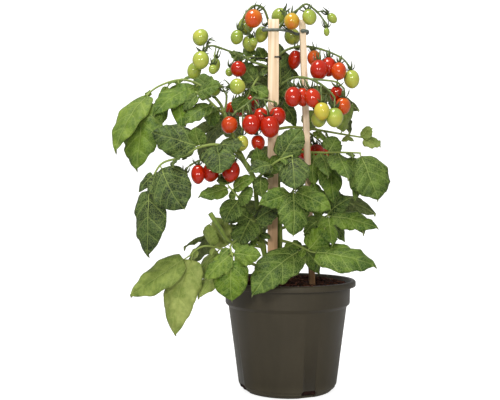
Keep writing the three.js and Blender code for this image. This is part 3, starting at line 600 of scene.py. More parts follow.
print(len(LEAVES), "leaves with", many, "leaflets in front,", len(FAR_LEAVES), "leaves behind,",
      sum(len(truss["fruit"]) for truss in TRUSSES.values()), "fruit on", len(TRUSSES), "trusses")

# %% [markdown]
# ## Pot
#
# A nursery pot is injection moulded: a thin wall that widens upwards, a step out to a wider collar, and a
# rolled lip. It is a turned shape, so its section is drawn once and spun round the middle. A Screw
# modifier would turn it too, but the notches are cut from a mesh. Sharp corners of the section are rounded
# first, because moulded plastic has none. The drain notches at the bottom corner are cut with a Boolean
# modifier, which is applied at once. The plastic is matt and a little streaky from the mould, and it turns
# patchily paler near the floor.


# %% Pot plastic
def pot_plastic():
    finish, tree, surface = new_finish("dark_olive_polypropylene", 0.5, Sheen_Weight=0.12,
                                       Sheen_Roughness=0.4, Specular_IOR_Level=0.4)
    soft = cloudy(tree, 14, detail=6)
    streaks = cloudy(tree, 60, (1, 1, 0.06))
    mottle = mixed(tree, (soft, 0.6), (streaks, 0.4))
    skin = ramp(tree, mottle, [(0.3, paint(52, 46, 31)), (0.55, paint(60, 53, 37)),
                               (0.8, paint(70, 62, 45))])
    # The lowest two centimetres blend patchily into a paler colour.
    paler_near_floor = sums(tree, "MULTIPLY", scaled(tree, height_above_floor(tree), 0.02, 0.0), soft)
    plug(tree, surface["Base Color"], blend_colours(tree, paler_near_floor, skin, paint(92, 86, 68)))
    plug(tree, surface["Roughness"], scaled(tree, soft, 0.25, 0.75, 0.42, 0.56))
    fine = cloudy(tree, 900, detail=2)
    raise_surface(tree, surface, mixed(tree, (fine, 1), (streaks, 1)), 0.12, 0.0005)
    return finish


# %% Turn a section round the middle
TURNS = 128


def spun(bm, section, turns=TURNS):
    """Spins a closed section of (radius, height) in millimetres into a solid round the Z axis."""
    corners = [bm.verts.new((radius * MM, 0, height * MM)) for radius, height in section]
    edges = [bm.edges.new(pair) for pair in zip(corners, corners[1:])]
    bmesh.ops.spin(bm, geom=corners + edges, cent=(0, 0, 0), axis=(0, 0, 1), angle=2 * math.pi,
                   steps=turns, use_merge=True)
    bmesh.ops.remove_doubles(bm, verts=bm.verts, dist=WELD)
    bmesh.ops.recalc_face_normals(bm, faces=bm.faces)


def rounded(section, radius, steps=3):
    """A section with its corners rounded, except the ends, which lie on the axis."""
    smooth = [section[0]]
    for before, corner, after in zip(section, section[1:], section[2:]):
        corner = Vector(corner)
        back, ahead = Vector(before) - corner, Vector(after) - corner
        start = corner + back.normalized() * min(radius, back.length * 0.4)
        end = corner + ahead.normalized() * min(radius, ahead.length * 0.4)
        for step in range(steps + 1):
            t = step / steps
            smooth.append(tuple(start * (1 - t) ** 2 + corner * 2 * t * (1 - t) + end * t**2))
    smooth.append(section[-1])
    return smooth


# %% Section of the pot
RIM, COLLAR, WALL_TOP, WALL_FOOT, FOOT = 95, 87.5, 82.5, 68.5, 61.5
POT_HEIGHT, LIP, COLLAR_FOOT, SHOULDER, FLOOR = 152, 143, 120, 115.5, 4.5
WALL, CORNER = 2, 0.9
POT_SECTION = [
    (0, 0), (22, 0), (36, 2), (50, 0), (FOOT, 0), (WALL_FOOT, 9), (WALL_TOP, SHOULDER),
    (COLLAR - 0.6, COLLAR_FOOT), (COLLAR, LIP + 0.6), (RIM, LIP + 1), (RIM, POT_HEIGHT - 2),
    (RIM - 1.6, POT_HEIGHT), (COLLAR + 1, POT_HEIGHT - 0.4), (COLLAR - WALL, LIP),
    (COLLAR - 0.6 - WALL, COLLAR_FOOT + 1), (WALL_TOP - WALL, SHOULDER), (WALL_FOOT - WALL, FLOOR),
    (0, FLOOR),
]

# %% Drain notches
NOTCHES, NOTCH_HEADING, NOTCH_WIDTH, NOTCH_TOP, NOTCH_DEEP, NOTCH_ARCH = 4, -68, 21, 11, 18, 4


def notch_cutter():
    """Blocks with an arched top, one over each drain notch."""
    bm = bmesh.new()
    bmesh.ops.create_cube(bm, size=1)
    bmesh.ops.scale(bm, verts=bm.verts, vec=(NOTCH_DEEP * MM, NOTCH_WIDTH * MM, 2 * NOTCH_TOP * MM))
    shoulders = [edge for edge in bm.edges if all(end.co.z > 0 for end in edge.verts)
                 and abs(edge.verts[0].co.y - edge.verts[1].co.y) < 1e-6]
    bmesh.ops.bevel(bm, geom=shoulders, offset=NOTCH_ARCH * MM, offset_type="OFFSET", affect="EDGES",
                    segments=4, profile=0.5, material=-1)
    bmesh.ops.translate(bm, verts=bm.verts, vec=(WALL_FOOT * MM, 0, 0))
    bmesh.ops.rotate(bm, verts=bm.verts, matrix=Matrix.Rotation(math.radians(NOTCH_HEADING), 3, "Z"))
    turn = 2 * math.pi * (NOTCHES - 1) / NOTCHES
    bmesh.ops.spin(bm, geom=bm.verts[:] + bm.edges[:] + bm.faces[:], axis=(0, 0, 1), angle=turn,
                   steps=NOTCHES - 1, use_duplicate=True)
    mesh = bpy.data.meshes.new("notch_cutter")
    bm.to_mesh(mesh)
    bm.free()
    cutter = bpy.data.objects.new("notch_cutter", mesh)
    bpy.context.collection.objects.link(cutter)
    return cutter


# %% Pot
def make_pot():
    bm = bmesh.new()
    spun(bm, rounded(POT_SECTION, CORNER))
    pot = finished("moulded_pot", bm, [pot_plastic()], ["pot"])
    cutter = notch_cutter()
    cut = pot.modifiers.new("notches", "BOOLEAN")
    cut.operation = "DIFFERENCE"
    cut.solver = "MANIFOLD"
    cut.object = cutter
    whole = bpy.data.meshes.new_from_object(pot.evaluated_get(bpy.context.evaluated_depsgraph_get()))
    pot.modifiers.clear()
    pot.data = whole
    bpy.data.objects.remove(cutter)
    print("pot faces after the notches:", len(whole.polygons))


make_pot()

# %% [markdown]
# ## Coir
#
# Potting coir is a loose heap of dark, crumbly grains with redder chips of husk and fine fibres on top.
# Bump alone would leave its outline smooth. So the heap is spun like the pot and its top is pushed up and
# down by noise, the chips are flattened icospheres dropped on it at random, and the fibres are thin curves
# that lie over them.


# %% Coir finish
def coir_finish(name, dark, light):
    finish, tree, surface = new_finish(name, 0.95, Specular_IOR_Level=0.2)
    coarse = cloudy(tree, 120, detail=6)
    plug(tree, surface["Base Color"], ramp(tree, coarse, [(0.35, dark), (0.7, light)]))
    raise_surface(tree, surface, cloudy(tree, 500, detail=6), 0.8, 0.002)
    return finish


# %% The heap
COIR_EDGE, COIR_CROWN, COIR_RADIUS = 145, 153.5, 85
RINGS, COIR_TURNS = 40, 150


def heap(x, y):
    """Height of the coir in millimetres at a place on it."""
    out = min(math.hypot(x, y) / COIR_RADIUS, 1)
    rise = COIR_EDGE + (COIR_CROWN - COIR_EDGE) * (1 - out**2.2)
    clods = noise.fractal(Vector((x, y, 3)) * 0.07, 1, 2, 4) * 2.2
    clods += noise.noise(Vector((x, y, 9)) * 0.35) * 0.9
    return rise + clods * (1 - out**6)


def add_heap(bm):
    flat_top = [(COIR_RADIUS * (1 - i / RINGS), POT_HEIGHT - 2) for i in range(RINGS + 1)]
    spun(bm, [(0, 5), (WALL_FOOT - 3, 5), (WALL_TOP - 2.4, SHOULDER), (COIR_RADIUS - 0.2, 122), *flat_top],
         COIR_TURNS)
    for vert in bm.verts:
        if vert.co.z > (POT_HEIGHT - 3) * MM:
            vert.co.z = heap(vert.co.x / MM, vert.co.y / MM) * MM


# %% Chips and fibres
CHIPS, FIBRES, FIBRE_STEPS = 800, 260, 5
FIBRE_FIELD, FIBRE_STEP = 78, 3


def add_chip(bm):
    turn, out = between(0, 2 * math.pi), COIR_RADIUS * 0.97 * math.sqrt(luck.random())
    x, y = out * math.cos(turn), out * math.sin(turn)
    length = between(1.5, 5.5)
    lie = Matrix.LocRotScale(
        Vector((x, y, heap(x, y) + 0.3)) * MM,
        Matrix.Rotation(between(0, math.pi), 3, "Z") @ Matrix.Rotation(between(-0.4, 0.4), 3, "Y"),
        Vector((length, between(0.8, 2.0), between(0.4, 1.1))) * MM)
    bmesh.ops.create_icosphere(bm, subdivisions=1, radius=1, matrix=lie)


def fibre():
    """A thin wandering way over the chips, and where it ends."""
    turn, out = between(0, 2 * math.pi), FIBRE_FIELD * math.sqrt(luck.random())
    x, y, heading = out * math.cos(turn), out * math.sin(turn), between(0, 2 * math.pi)
    points = []
    for _ in range(FIBRE_STEPS + 1):
        points.append(Vector((x, y, heap(x, y) + 1 + between(0, 1.2))) * MM)
        heading += between(-0.6, 0.6)
        x, y = x + FIBRE_STEP * math.cos(heading), y + FIBRE_STEP * math.sin(heading)
    return (points, taper(0.25, 0.12, FIBRE_STEPS), 2), math.hypot(x, y)


# %% Coir
def make_coir():
    bm = bmesh.new()
    add_heap(bm)
    loose = set(bm.faces)
    for _ in range(CHIPS):
        add_chip(bm)
    for face in bm.faces:
        if face not in loose:
            face.material_index = luck.choice((1, 1, 2))
    strewn = [fibre() for _ in range(FIBRES)]
    add_stalks(bm, [way for way, out in strewn if out < COIR_RADIUS - FIBRE_STEP], 0)
    finishes = [coir_finish("damp_coir", paint(34, 20, 16), paint(74, 44, 36)),
                coir_finish("husk_chips", paint(60, 34, 28), paint(118, 72, 58)),
                coir_finish("husk_fibres", paint(92, 58, 44), paint(150, 104, 80))]
    finished("loose_coir", bm, finishes, ["coir"])


make_coir()

# %% [markdown]
# ## Slats
#
# Two planed wooden slats with pointed feet are pushed into the coir. A scaled cube would have no taper and
# no point, so an outline is extruded to its thickness, its edges are bevelled, and cuts across it let noise
# bend the faces by a fraction of a millimetre, as real wood moves. The grain runs along the slat, the wood
# grows darker and browner towards the bottom, and damp has browned its lower end.


# %% Slat wood
def slat_wood():
    finish, tree, surface = new_finish("planed_softwood", 0.68, Specular_IOR_Level=0.3)
    grain = cloudy(tree, 260, (1, 1, 0.03), 5)
    bands = cloudy(tree, 70, (1, 1, 0.05), 3)
    height = height_above_floor(tree)
    # Lower down the slat, the wood shifts smoothly to a darker, browner colour.
    darker_below = scaled(tree, mixed(tree, (height, 1), (bands, 0.12)), 0.48, 0.17)
    paler_wood = ramp(tree, grain, [(0.25, paint(216, 182, 142)), (0.5, paint(242, 218, 184)),
                               (0.75, paint(251, 236, 212))])
    darker_colours = ramp(tree, grain, [(0.25, paint(134, 92, 58)), (0.55, paint(184, 138, 92)),
                             (0.8, paint(206, 164, 118))])
    wood = blend_colours(tree, darker_below, paler_wood, darker_colours)
    damp = sums(tree, "MULTIPLY", scaled(tree, height, 0.2, 0.15), 0.6)
    plug(tree, surface["Base Color"], blend_colours(tree, damp, wood, paint(86, 58, 38)))
    raise_surface(tree, surface, grain, 0.35, 0.0006)
    return finish


# %% Slats
SLAT_BOTTOM, SLAT_WIDTH, SLAT_FOOT_WIDTH, SLAT_THICK, SLAT_POINT, SLAT_TIP = 40, 14.5, 11, 8, 22, 2
SLAT_PARTS, FULL_WIDTH_FROM = 60, 0.6
SLAT_SWAY, SWAYS_A_METRE = 0.3, 28
SLATS = {
    "slat_left": {"foot": (-23.5, -58.5), "head": (-21, -50, 504), "turn": 0},
    "slat_right": {"foot": (34.5, -51), "head": (18, -40, 505), "turn": 90},
}


def make_slat(name, slat, wood):
    foot = Vector((*slat["foot"], SLAT_BOTTOM)) * MM
    lean = Vector(slat["head"]) * MM - foot
    long, half, foot_half = lean.length, SLAT_WIDTH / 2 * MM, SLAT_FOOT_WIDTH / 2 * MM
    right_side = [(SLAT_TIP * MM, 0), (foot_half, SLAT_POINT * MM), (half, long * FULL_WIDTH_FROM),
                  (half, long)]
    left_side = [(-x, z) for x, z in reversed(right_side)]
    outline = [left_side[-1], *right_side, *left_side[:-1]]
    bm = bmesh.new()
    face = bm.faces.new([bm.verts.new((x, -SLAT_THICK / 2 * MM, z)) for x, z in outline])
    pulled = bmesh.ops.extrude_face_region(bm, geom=[face])["geom"]
    bmesh.ops.translate(bm, verts=[part for part in pulled if isinstance(part, bmesh.types.BMVert)],
                        vec=(0, SLAT_THICK * MM, 0))
    bmesh.ops.recalc_face_normals(bm, faces=bm.faces)
    bmesh.ops.bevel(bm, geom=bm.edges[:], offset=0.5 * MM, offset_type="OFFSET", affect="EDGES", segments=2,
                    profile=0.5, material=-1)
    for cut in range(1, SLAT_PARTS):
        bmesh.ops.bisect_plane(bm, geom=bm.verts[:] + bm.edges[:] + bm.faces[:],
                               plane_co=(0, 0, long * cut / SLAT_PARTS), plane_no=(0, 0, 1))
    bmesh.ops.remove_doubles(bm, verts=bm.verts, dist=WELD)
    shift = between(0, 50)
    for vert in bm.verts:
        if vert.co.z < long - 2 * MM:
            push = noise.noise_vector(vert.co * SWAYS_A_METRE + Vector((shift, 0, 0))) * SLAT_SWAY * MM
            vert.co += Vector((push.x, push.y, 0))
    turn = Matrix.Rotation(math.radians(slat["turn"]), 4, "Z")
    tilt = Vector((0, 0, 1)).rotation_difference(lean).to_matrix().to_4x4()
    bmesh.ops.transform(bm, verts=bm.verts, matrix=Matrix.Translation(foot) @ tilt @ turn)
    finished(name.replace("slat", "planed_slat"), bm, [wood], [name])


wood = slat_wood()
for name, slat in SLATS.items():
    make_slat(name, slat, wood)

# %% [markdown]
# ## Wire ties
#
# A grey-green wire goes round both slats at the top and ends in two bent knobs. Lower down, a wire with a
# black sleeve holds the main stem against the left slat. A curve with one bevel depth would be even all
# along, so each is made as the stalks are, with a thickness at each step: a little more where the wire
# ends in a knob.


# %% Wire finishes
def wire_finish(name, dark, light, roughness):
    finish, tree, surface = new_finish(name, roughness, Specular_IOR_Level=0.45)
    worn = cloudy(tree, 220, detail=5)
    plug(tree, surface["Base Color"], ramp(tree, worn, [(0.35, dark), (0.7, light)]))
    raise_surface(tree, surface, worn, 0.2, 0.0004)
    return finish


GREEN_WIRE = wire_finish("grey_green_wire", paint(70, 80, 72), paint(118, 128, 116), 0.5)
BLACK_SLEEVE = wire_finish("black_sleeve", paint(16, 17, 16), paint(40, 41, 38), 0.38)
DARK_WIRE = wire_finish("dark_wire", paint(58, 60, 54), paint(92, 94, 84), 0.45)

# %% Ties
TIE_STEPS = 60
SLEEVE_ENDS = (0.34, 0.8)
KNOB, KNOB_FROM_END, KNOB_SPREAD = 0.9, 1.5, 1.6


def make_tie_top():
    points = walk(TIES["tie_top"]["route"], TIE_STEPS)
    thick = TIES["tie_top"]["radius"]
    ends = [min(i, TIE_STEPS - i) for i in range(TIE_STEPS + 1)]
    radii = [(thick + KNOB * math.exp(-(((end - KNOB_FROM_END) / KNOB_SPREAD) ** 2))) * MM for end in ends]
    radii[0] = radii[-1] = 0.9 * MM
    bm = bmesh.new()
    add_stalks(bm, [(points, radii, 0)], 4)
    finished("wire_tie_top", bm, [GREEN_WIRE], ["tie_top"])


def make_tie_lower():
    points = walk(TIES["tie_lower"]["route"], TIE_STEPS)
    thick = TIES["tie_lower"]["radius"]
    start, end = [round(share * TIE_STEPS) for share in SLEEVE_ENDS]
    sleeve = points[start:end + 1]
    bm = bmesh.new()
    add_stalks(bm, [(points, taper(thick - 0.7, thick - 0.7, TIE_STEPS), 1),
                    (sleeve, taper(thick, thick, len(sleeve) - 1), 0)], 3)
    finished("wire_tie_lower", bm, [BLACK_SLEEVE, DARK_WIRE], ["tie_lower"])


make_tie_top()
make_tie_lower()

# %% [markdown]
# ## Green stems and stalks
#
# Stems, leaf stalks and truss stalks share one kind of finish: green with paler streaks along it, matt,
# with a soft sheen. The stems swell where each leaf and truss leaves them. Hairs could be a particle
# system, but then they would be no part of the mesh, so each is a thin spike, made as a very short stalk.


# %% Stem finish
def stalk_finish(name, dark, light):
    finish, tree, surface = new_finish(name, 0.55, Sheen_Weight=0.25, Sheen_Roughness=0.4,
                                       Specular_IOR_Level=0.35)
    streaks = mixed(tree, (cloudy(tree, 300, (1, 1, 0.15), 3), 0.6), (cloudy(tree, 35, detail=3), 0.4))
    plug(tree, surface["Base Color"], ramp(tree, streaks, [(0.35, dark), (0.65, light)]))
    raise_surface(tree, surface, streaks, 0.3, 0.0006)
    return finish


STALK_GREEN = stalk_finish("stalk_green", paint(96, 118, 46), paint(142, 160, 72))
STUB_GREEN = stalk_finish("cut_stub_green", paint(136, 154, 62), paint(184, 196, 98))
TRUSS_GREEN = stalk_finish("truss_green", paint(74, 92, 40), paint(128, 144, 74))
CALYX_GREEN = stalk_finish("calyx_green", paint(40, 54, 22), paint(88, 106, 46))


# %% Hairs on a stalk
HAIR_FOOT, HAIR_TIP = 0.07, 0.02


def hairs(route_points, radii, many, reach=1.3):
    """Short fine hairs that stand out from a stalk, as thin three-sided spikes."""
    ways = []
    for _ in range(many):
        at = luck.randrange(1, len(route_points) - 1)
        ahead = (route_points[at + 1] - route_points[at - 1]).normalized()
        out = ahead.cross(Vector((between(-1, 1), between(-1, 1), between(-1, 1)))).normalized()
        root = route_points[at].lerp(route_points[at + 1], luck.random()) + out * radii[at] * 0.9
        tip = root + (out + ahead * between(-0.3, 0.3)) * between(0.6, 1) * reach * MM
        ways.append(([root, tip], [HAIR_FOOT * MM, HAIR_TIP * MM], 0))
    return ways


# %% Stems
STEM_HAIRS = 400
JOINT_SWELL, JOINT_REACH = 0.28, 6


def make_stem():
    starts = [leaf["stalk"][0] for leaf in LEAVES.values()]
    starts += [truss["stalk"][0] for truss in TRUSSES.values()]
    starts += [rule[0] for rule in FAR_LEAVES.values()]
    joints = [Vector(start) * MM for start in starts]
    ways, fuzz = [], []
    for stem in STEMS:
        steps = 12 * (len(stem["route"]) - 1)
        points = walk(stem["route"], steps)
        radii = taper(stem["thick"], stem["thin"], steps)
        for i, point in enumerate(points):
            near = min((joint - point).length for joint in joints)
            swell = JOINT_SWELL * math.exp(-(near / (JOINT_REACH * MM)) ** 2)
            radii[i] *= 1 + swell + 0.06 * noise.noise(point * 90)
        ways.append((points, radii, 1 if stem is STEMS[-1] else 0))
        fuzz += hairs(points, radii, STEM_HAIRS)
    bm = bmesh.new()
    add_stalks(bm, ways, 4)
    add_stalks(bm, fuzz, 0)
    finished("hairy_stems", bm, [STALK_GREEN, STUB_GREEN], ["stem"])


make_stem()

# %% [markdown]
# ## Fruit
#
# A small plum tomato is an egg with a slight dimple at its crown. A turned profile would do, but it would
# be quite round, so the fruit starts as a UV sphere whose vertices are moved to an egg with two or three
# faint lobes. Its ripeness is kept in an attribute on the mesh, a little lower at the crown, where green
# shoulders ripen last, and one finish turns it into colour. Fruit that touch one another are one piece, as
# their solids are.


# %% Fruit skin
def fruit_skin():
    finish, tree, surface = new_finish(
        "tomato_skin", 0.32, Coat_Weight=1, Coat_Roughness=0.03, Coat_IOR=1.5, Specular_IOR_Level=0.08,
        Subsurface_Weight=0.06, Subsurface_Scale=0.004)
    surface["Subsurface Radius"].default_value = (1, 0.35, 0.15)
    ripe = knot(tree, "Attribute", attribute_name="ripeness")["Fac"]
    blush = scaled(tree, cloudy(tree, 70, detail=3), 0.3, 0.7, -0.05, 0.05)
    shade = sums(tree, "ADD", ripe, blush)
    skin = ramp(tree, shade, [
        (0.0, paint(134, 156, 62)), (0.12, paint(164, 178, 74)), (0.24, paint(190, 190, 76)),
        (0.36, paint(200, 184, 64)), (0.48, paint(202, 152, 40)), (0.56, paint(204, 110, 22)),
        (0.66, paint(202, 76, 12)), (0.8, paint(190, 48, 7)), (1.0, paint(178, 32, 5))])
    dots = knot(tree, "TexVoronoi", {"Vector": knot(tree, "TexCoord")["Object"], "Scale": 420})["Distance"]
    speckle = sums(tree, "MULTIPLY", scaled(tree, dots, 0.12, 0.04), 0.12)
    plug(tree, surface["Base Color"], blend_colours(tree, speckle, skin, paint(230, 190, 110)))
    raise_surface(tree, surface, cloudy(tree, 160, detail=2), 0.05, 0.001)
    return finish


TOMATO_SKIN = fruit_skin()

# %% Shape one fruit
CROWN = 0.97
BUD = 14


def add_fruit(bm, one):
    ripeness = bm.verts.layers.float["ripeness"]
    turn = Vector((0, 0, 1)).rotation_difference(one["crown"]).to_matrix().to_4x4()
    rough = 16 if one["width"] >= BUD else 10
    made = bmesh.ops.create_uvsphere(bm, u_segments=2 * rough, v_segments=rough, radius=1)["verts"]
    lobes, phase = luck.choice((2, 3)), between(0, 6)
    for vert in made:
        z = vert.co.z
        around = math.atan2(vert.co.y, vert.co.x)
        fat = 1 + 0.025 * z * (1 - z) + 0.02 * (1 - z * z) * math.cos(lobes * around + phase)
        dimple = 0.5 * max(z - 0.86, 0) if one["width"] >= BUD else 0
        tip = 0.02 * max(-z - 0.94, 0) / 0.06
        vert[ripeness] = one["ripe"] + (0.06 - 0.1 * (z + 1) / 2) * (1.4 - one["ripe"])
        vert.co = Vector((vert.co.x * fat * one["width"] / 2, vert.co.y * fat * one["width"] / 2,
                          (z - dimple - tip) * one["height"] / 2)) * MM
    bmesh.ops.transform(bm, verts=made, matrix=Matrix.Translation(one["centre"]) @ turn)


# %% Where a truss carries its fruit
TO_START, UPRIGHT = 0.75, 0.45
ON_BRANCH = 10


def hung_fruit(truss):
    """Each fruit of a truss with the place that its pedicel starts from and the way its crown points."""
    hung = []
    for where, x, y, z, width, height, ripe in truss["fruit"]:
        if where >= ON_BRANCH:
            start = along(truss["branch"], where - ON_BRANCH)
        else:
            start = along(truss["stalk"], where)
        centre = Vector((x, y, z)) * MM
        crown = ((start - centre).normalized() * TO_START + Vector((0, 0, UPRIGHT))).normalized()
        top = centre + crown * height / 2 * CROWN * MM
        hung.append({"start": start, "centre": centre, "crown": crown, "top": top, "width": width,
                     "height": height, "ripe": ripe})
    return hung


# %% [markdown]
# ## Calyx and pedicel
#
# Each fruit hangs on a short pedicel with a knuckle half way, where the fruit would break off. Above its
# crown sits a star of thin sepals that curl up at their tips. One star could be copied to every fruit, but
# no two real ones are alike, so each sepal is a small grid that is drawn to a point and bent by its own
# numbers, and then given a thickness.


# %% Sepals
SEPALS, SEPAL_HALF, SEPAL_THICK = 7, 1.35, 0.35


def add_sepals(bm, one, slot):
    across = Vector((1, 0.3, 0)).cross(one["crown"]).normalized()
    aside = one["crown"].cross(across)
    blades = []
    for index in range(SEPALS):
        angle = 2 * math.pi * (index + between(-0.12, 0.12)) / SEPALS
        out = across * math.cos(angle) + aside * math.sin(angle)
        over = one["crown"].cross(out)
        reach = between(0.42, 0.72) * max(one["width"], BUD)
        lift, twist = between(4, 12), between(-0.4, 0.4)
        known = set(bm.faces)
        made = bmesh.ops.create_grid(bm, x_segments=2, y_segments=7, size=0.5)["verts"]
        for vert in made:
            s, side = vert.co.y + 0.5, vert.co.x * 2
            half = SEPAL_HALF * math.sin(math.pi * min(0.28 + 0.72 * s, 0.985)) ** 0.7
            lie = out * (0.6 + reach * s * (1 - 0.38 * s)) + over * (side * half + twist * reach * s * s)
            rise = 0.35 + lift * s**2.2 - 0.5 * abs(side) * half * 0.5 + 0.9 * s * (1 - s)
            vert.co = one["top"] + (lie + one["crown"] * rise) * MM
        blades += [face for face in bm.faces if face not in known]
    for face in blades:
        face.material_index = slot
    return blades


# %% Pedicels and stalks
PEDICEL_STEPS, PEDICEL, KNUCKLE, FLARE = 10, 0.85, 0.5, 0.9


def pedicel_way(one, slot):
    """From the stalk over a knuckle half way to the crown of a fruit, where it widens."""
    neck = one["top"] + one["crown"] * 3 * MM
    middle = one["start"].lerp(neck, 0.5) + Vector((0, 0, 1.2 * MM))
    stops = [one["start"] / MM, middle / MM, neck / MM, (one["top"] + one["crown"] * 0.3 * MM) / MM]
    points = walk(stops, PEDICEL_STEPS)
    radii = []
    for i in range(PEDICEL_STEPS + 1):
        knuckle = KNUCKLE * math.exp(-((i - 4.5) / 0.9) ** 2)
        radii.append((PEDICEL + knuckle + FLARE * max(i - 8, 0) / 2) * MM)
    return points, radii, slot


def stalk_way(route, thick, thin, starts, slot):
    """A truss stalk that swells where each pedicel starts."""
    steps = 10 * (len(route) - 1)
    points = walk(route, steps)
    radii = taper(thick, thin, steps)
    for i, point in enumerate(points):
        near = min((start - point).length for start in starts)
        radii[i] *= 1 + 0.3 * math.exp(-(near / (3 * MM)) ** 2)
    radii[-1] *= 0.5
    return points, radii, slot


# %% Make a truss
RIPE = 0.5
TRUSS_STALK, TRUSS_BRANCH = (1.9, 1.1), (1.5, 1.0)
TRUSS_HAIRS = 90


def make_truss(name, truss):
    hung = hung_fruit(truss)
    starts = [one["start"] for one in hung]
    ways = [stalk_way(truss["stalk"], *TRUSS_STALK, starts, 0)]
    if "branch" in truss:
        ways.append(stalk_way(truss["branch"], *TRUSS_BRANCH, starts, 0))
    bm = bmesh.new()
    bm.verts.layers.float.new("ripeness")
    blades = []
    for one in hung:
        ways.append(pedicel_way(one, 0))
        blades += add_sepals(bm, one, 1)
    bmesh.ops.recalc_face_normals(bm, faces=bm.faces)
    bmesh.ops.solidify(bm, geom=blades, thickness=SEPAL_THICK * MM)
    known = set(bm.faces)
    for one in hung:
        if one["ripe"] <= RIPE:
            add_fruit(bm, one)
    for face in bm.faces:
        if face not in known:
            face.material_index = 2
    stalk, stalk_radii, _ = ways[0]
    fuzz = hairs(stalk, stalk_radii, TRUSS_HAIRS)
    add_stalks(bm, ways, 3)
    add_stalks(bm, fuzz, 0)
    finished(name.replace("truss", "fruiting_truss"), bm, [TRUSS_GREEN, CALYX_GREEN, TOMATO_SKIN], [name])
    make_ripe_fruit(name, [one for one in hung if one["ripe"] > RIPE])


# %% Ripe fruit
def make_ripe_fruit(name, ripe):
    """One piece for each node of ripe fruit: a fruit belongs to the node that reaches its lowest point."""
    nodes = [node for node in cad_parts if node.startswith(name + "_ripe_")]
    groups = {node: [] for node in nodes}
    for one in ripe:
        low = one["centre"] - one["crown"] * one["height"] / 2 * MM

        def distance(node):
            return min((vert.co - low).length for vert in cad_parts[node].data.vertices)

        groups[min(nodes, key=distance)].append(one)
    for node, group in groups.items():
        bm = bmesh.new()
        bm.verts.layers.float.new("ripeness")
        for one in group:
            add_fruit(bm, one)
        finished(node.replace("truss", "tomatoes"), bm, [TOMATO_SKIN], [node])


for name, truss in TRUSSES.items():
    make_truss(name, truss)

# %% [markdown]
# ## Leaf finishes
#
# A tomato leaflet is matt and slightly puckered. Its veins are sunk and paler on top, and raised and paler
# still underneath, where the whole blade is a greyer green. Modelled veins would need a mesh many times as
# fine, so they are painted and raised by the shader. The blade's own UV map says where its veins are:
# across it in centimetres from the midrib, and along it one unit for each side vein. The attribute "tone"
# goes from 0 for an old dark leaf through 1 for a fresh one to 2 for a faded one. Its dark end is also
# painted shade, given to leaves inside and behind the plant.


# %% Leaf finish
def leaf_finish(name, darker_colours, young, faded, vein, vein_share, sunk, roughness):
    """Each stage of a leaf has a darker and a lighter green; the darkest stage is also painted shade."""
    finish, tree, surface = new_finish(name, roughness, Sheen_Weight=0.02, Sheen_Roughness=0.5,
                                       Specular_IOR_Level=0.24)
    place = knot(tree, "SeparateXYZ", {0: knot(tree, "UVMap", uv_map="blade")[0]})
    midrib = scaled(tree, sums(tree, "ABSOLUTE", place["X"]), 0.1, 0.02)
    from_vein = sums(tree, "PINGPONG", sums(tree, "ADD", place["Y"], 10), 0.5)
    side_vein = scaled(tree, from_vein, 0.06, 0.012)
    main_veins = sums(tree, "MAXIMUM", midrib, sums(tree, "MULTIPLY", side_vein, 0.75))
    where = knot(tree, "TexCoord")["Object"]
    bent = knot(tree, "TexNoise", {"Vector": where, "Scale": 160.0, "Detail": 2.0})["Color"]
    pushed = knot(tree, "VectorMath", {0: bent, 1: (0.005, 0.005, 0.005)}, operation="MULTIPLY")[0]
    shifted = knot(tree, "VectorMath", {0: where, 1: pushed}, operation="ADD")[0]
    cells = knot(tree, "TexVoronoi", {"Vector": shifted, "Scale": 330}, feature="DISTANCE_TO_EDGE")[0]
    net = scaled(tree, cells, 0.16, 0.0)
    veins = sums(tree, "MAXIMUM", main_veins, sums(tree, "MULTIPLY", net, 0.5))
    beside_vein = sums(tree, "MULTIPLY", scaled(tree, from_vein, 0.32, 0.0), 0.05)
    mottle = mixed(tree, (cloudy(tree, 60, detail=5), 0.65), (cloudy(tree, 260, detail=3), 0.3),
                   (beside_vein, 1))
    # The darkest greens are those of old leaves, and they are also painted shade on leaves deep in the
    # plant.
    greens = [ramp(tree, mottle, [(0.38, dark), (0.64, light)]) for dark, light in (darker_colours, young, faded)]
    tone = knot(tree, "Attribute", attribute_name="tone")["Fac"]
    toned = blend_colours(tree, tone, greens[0], greens[1])
    toned = blend_colours(tree, sums(tree, "SUBTRACT", tone, 1), toned, greens[2])
    paler = scaled(tree, place["Y"], 3.5, 0, vein_share, min(1.8 * vein_share, 1))
    drawn = sums(tree, "MULTIPLY", veins, paler)
    plug(tree, surface["Base Color"], blend_colours(tree, drawn, toned, vein))
    relief = mixed(tree, (veins, sunk), (cloudy(tree, 700, detail=3), 0.3))
    raise_surface(tree, surface, relief, 0.6, 0.001)
    return finish


# The first pair of greens is for old leaves, and it also paints shade on leaves deep in the plant.
LEAF_TOP = leaf_finish(
    "leaf_top", darker_colours=(paint(15, 33, 11), paint(76, 100, 46)), young=(paint(54, 88, 6), paint(110, 138, 30)),
    faded=(paint(118, 134, 58), paint(166, 174, 98)), vein=paint(150, 166, 88), vein_share=0.5, sunk=-1,
    roughness=0.5)
LEAF_UNDER = leaf_finish(
    "leaf_underside", darker_colours=(paint(90, 108, 58), paint(120, 136, 78)),
    young=(paint(118, 136, 66), paint(146, 160, 84)), faded=(paint(140, 150, 96), paint(164, 172, 116)),
    vein=paint(176, 186, 122), vein_share=0.6, sunk=1, roughness=0.7)

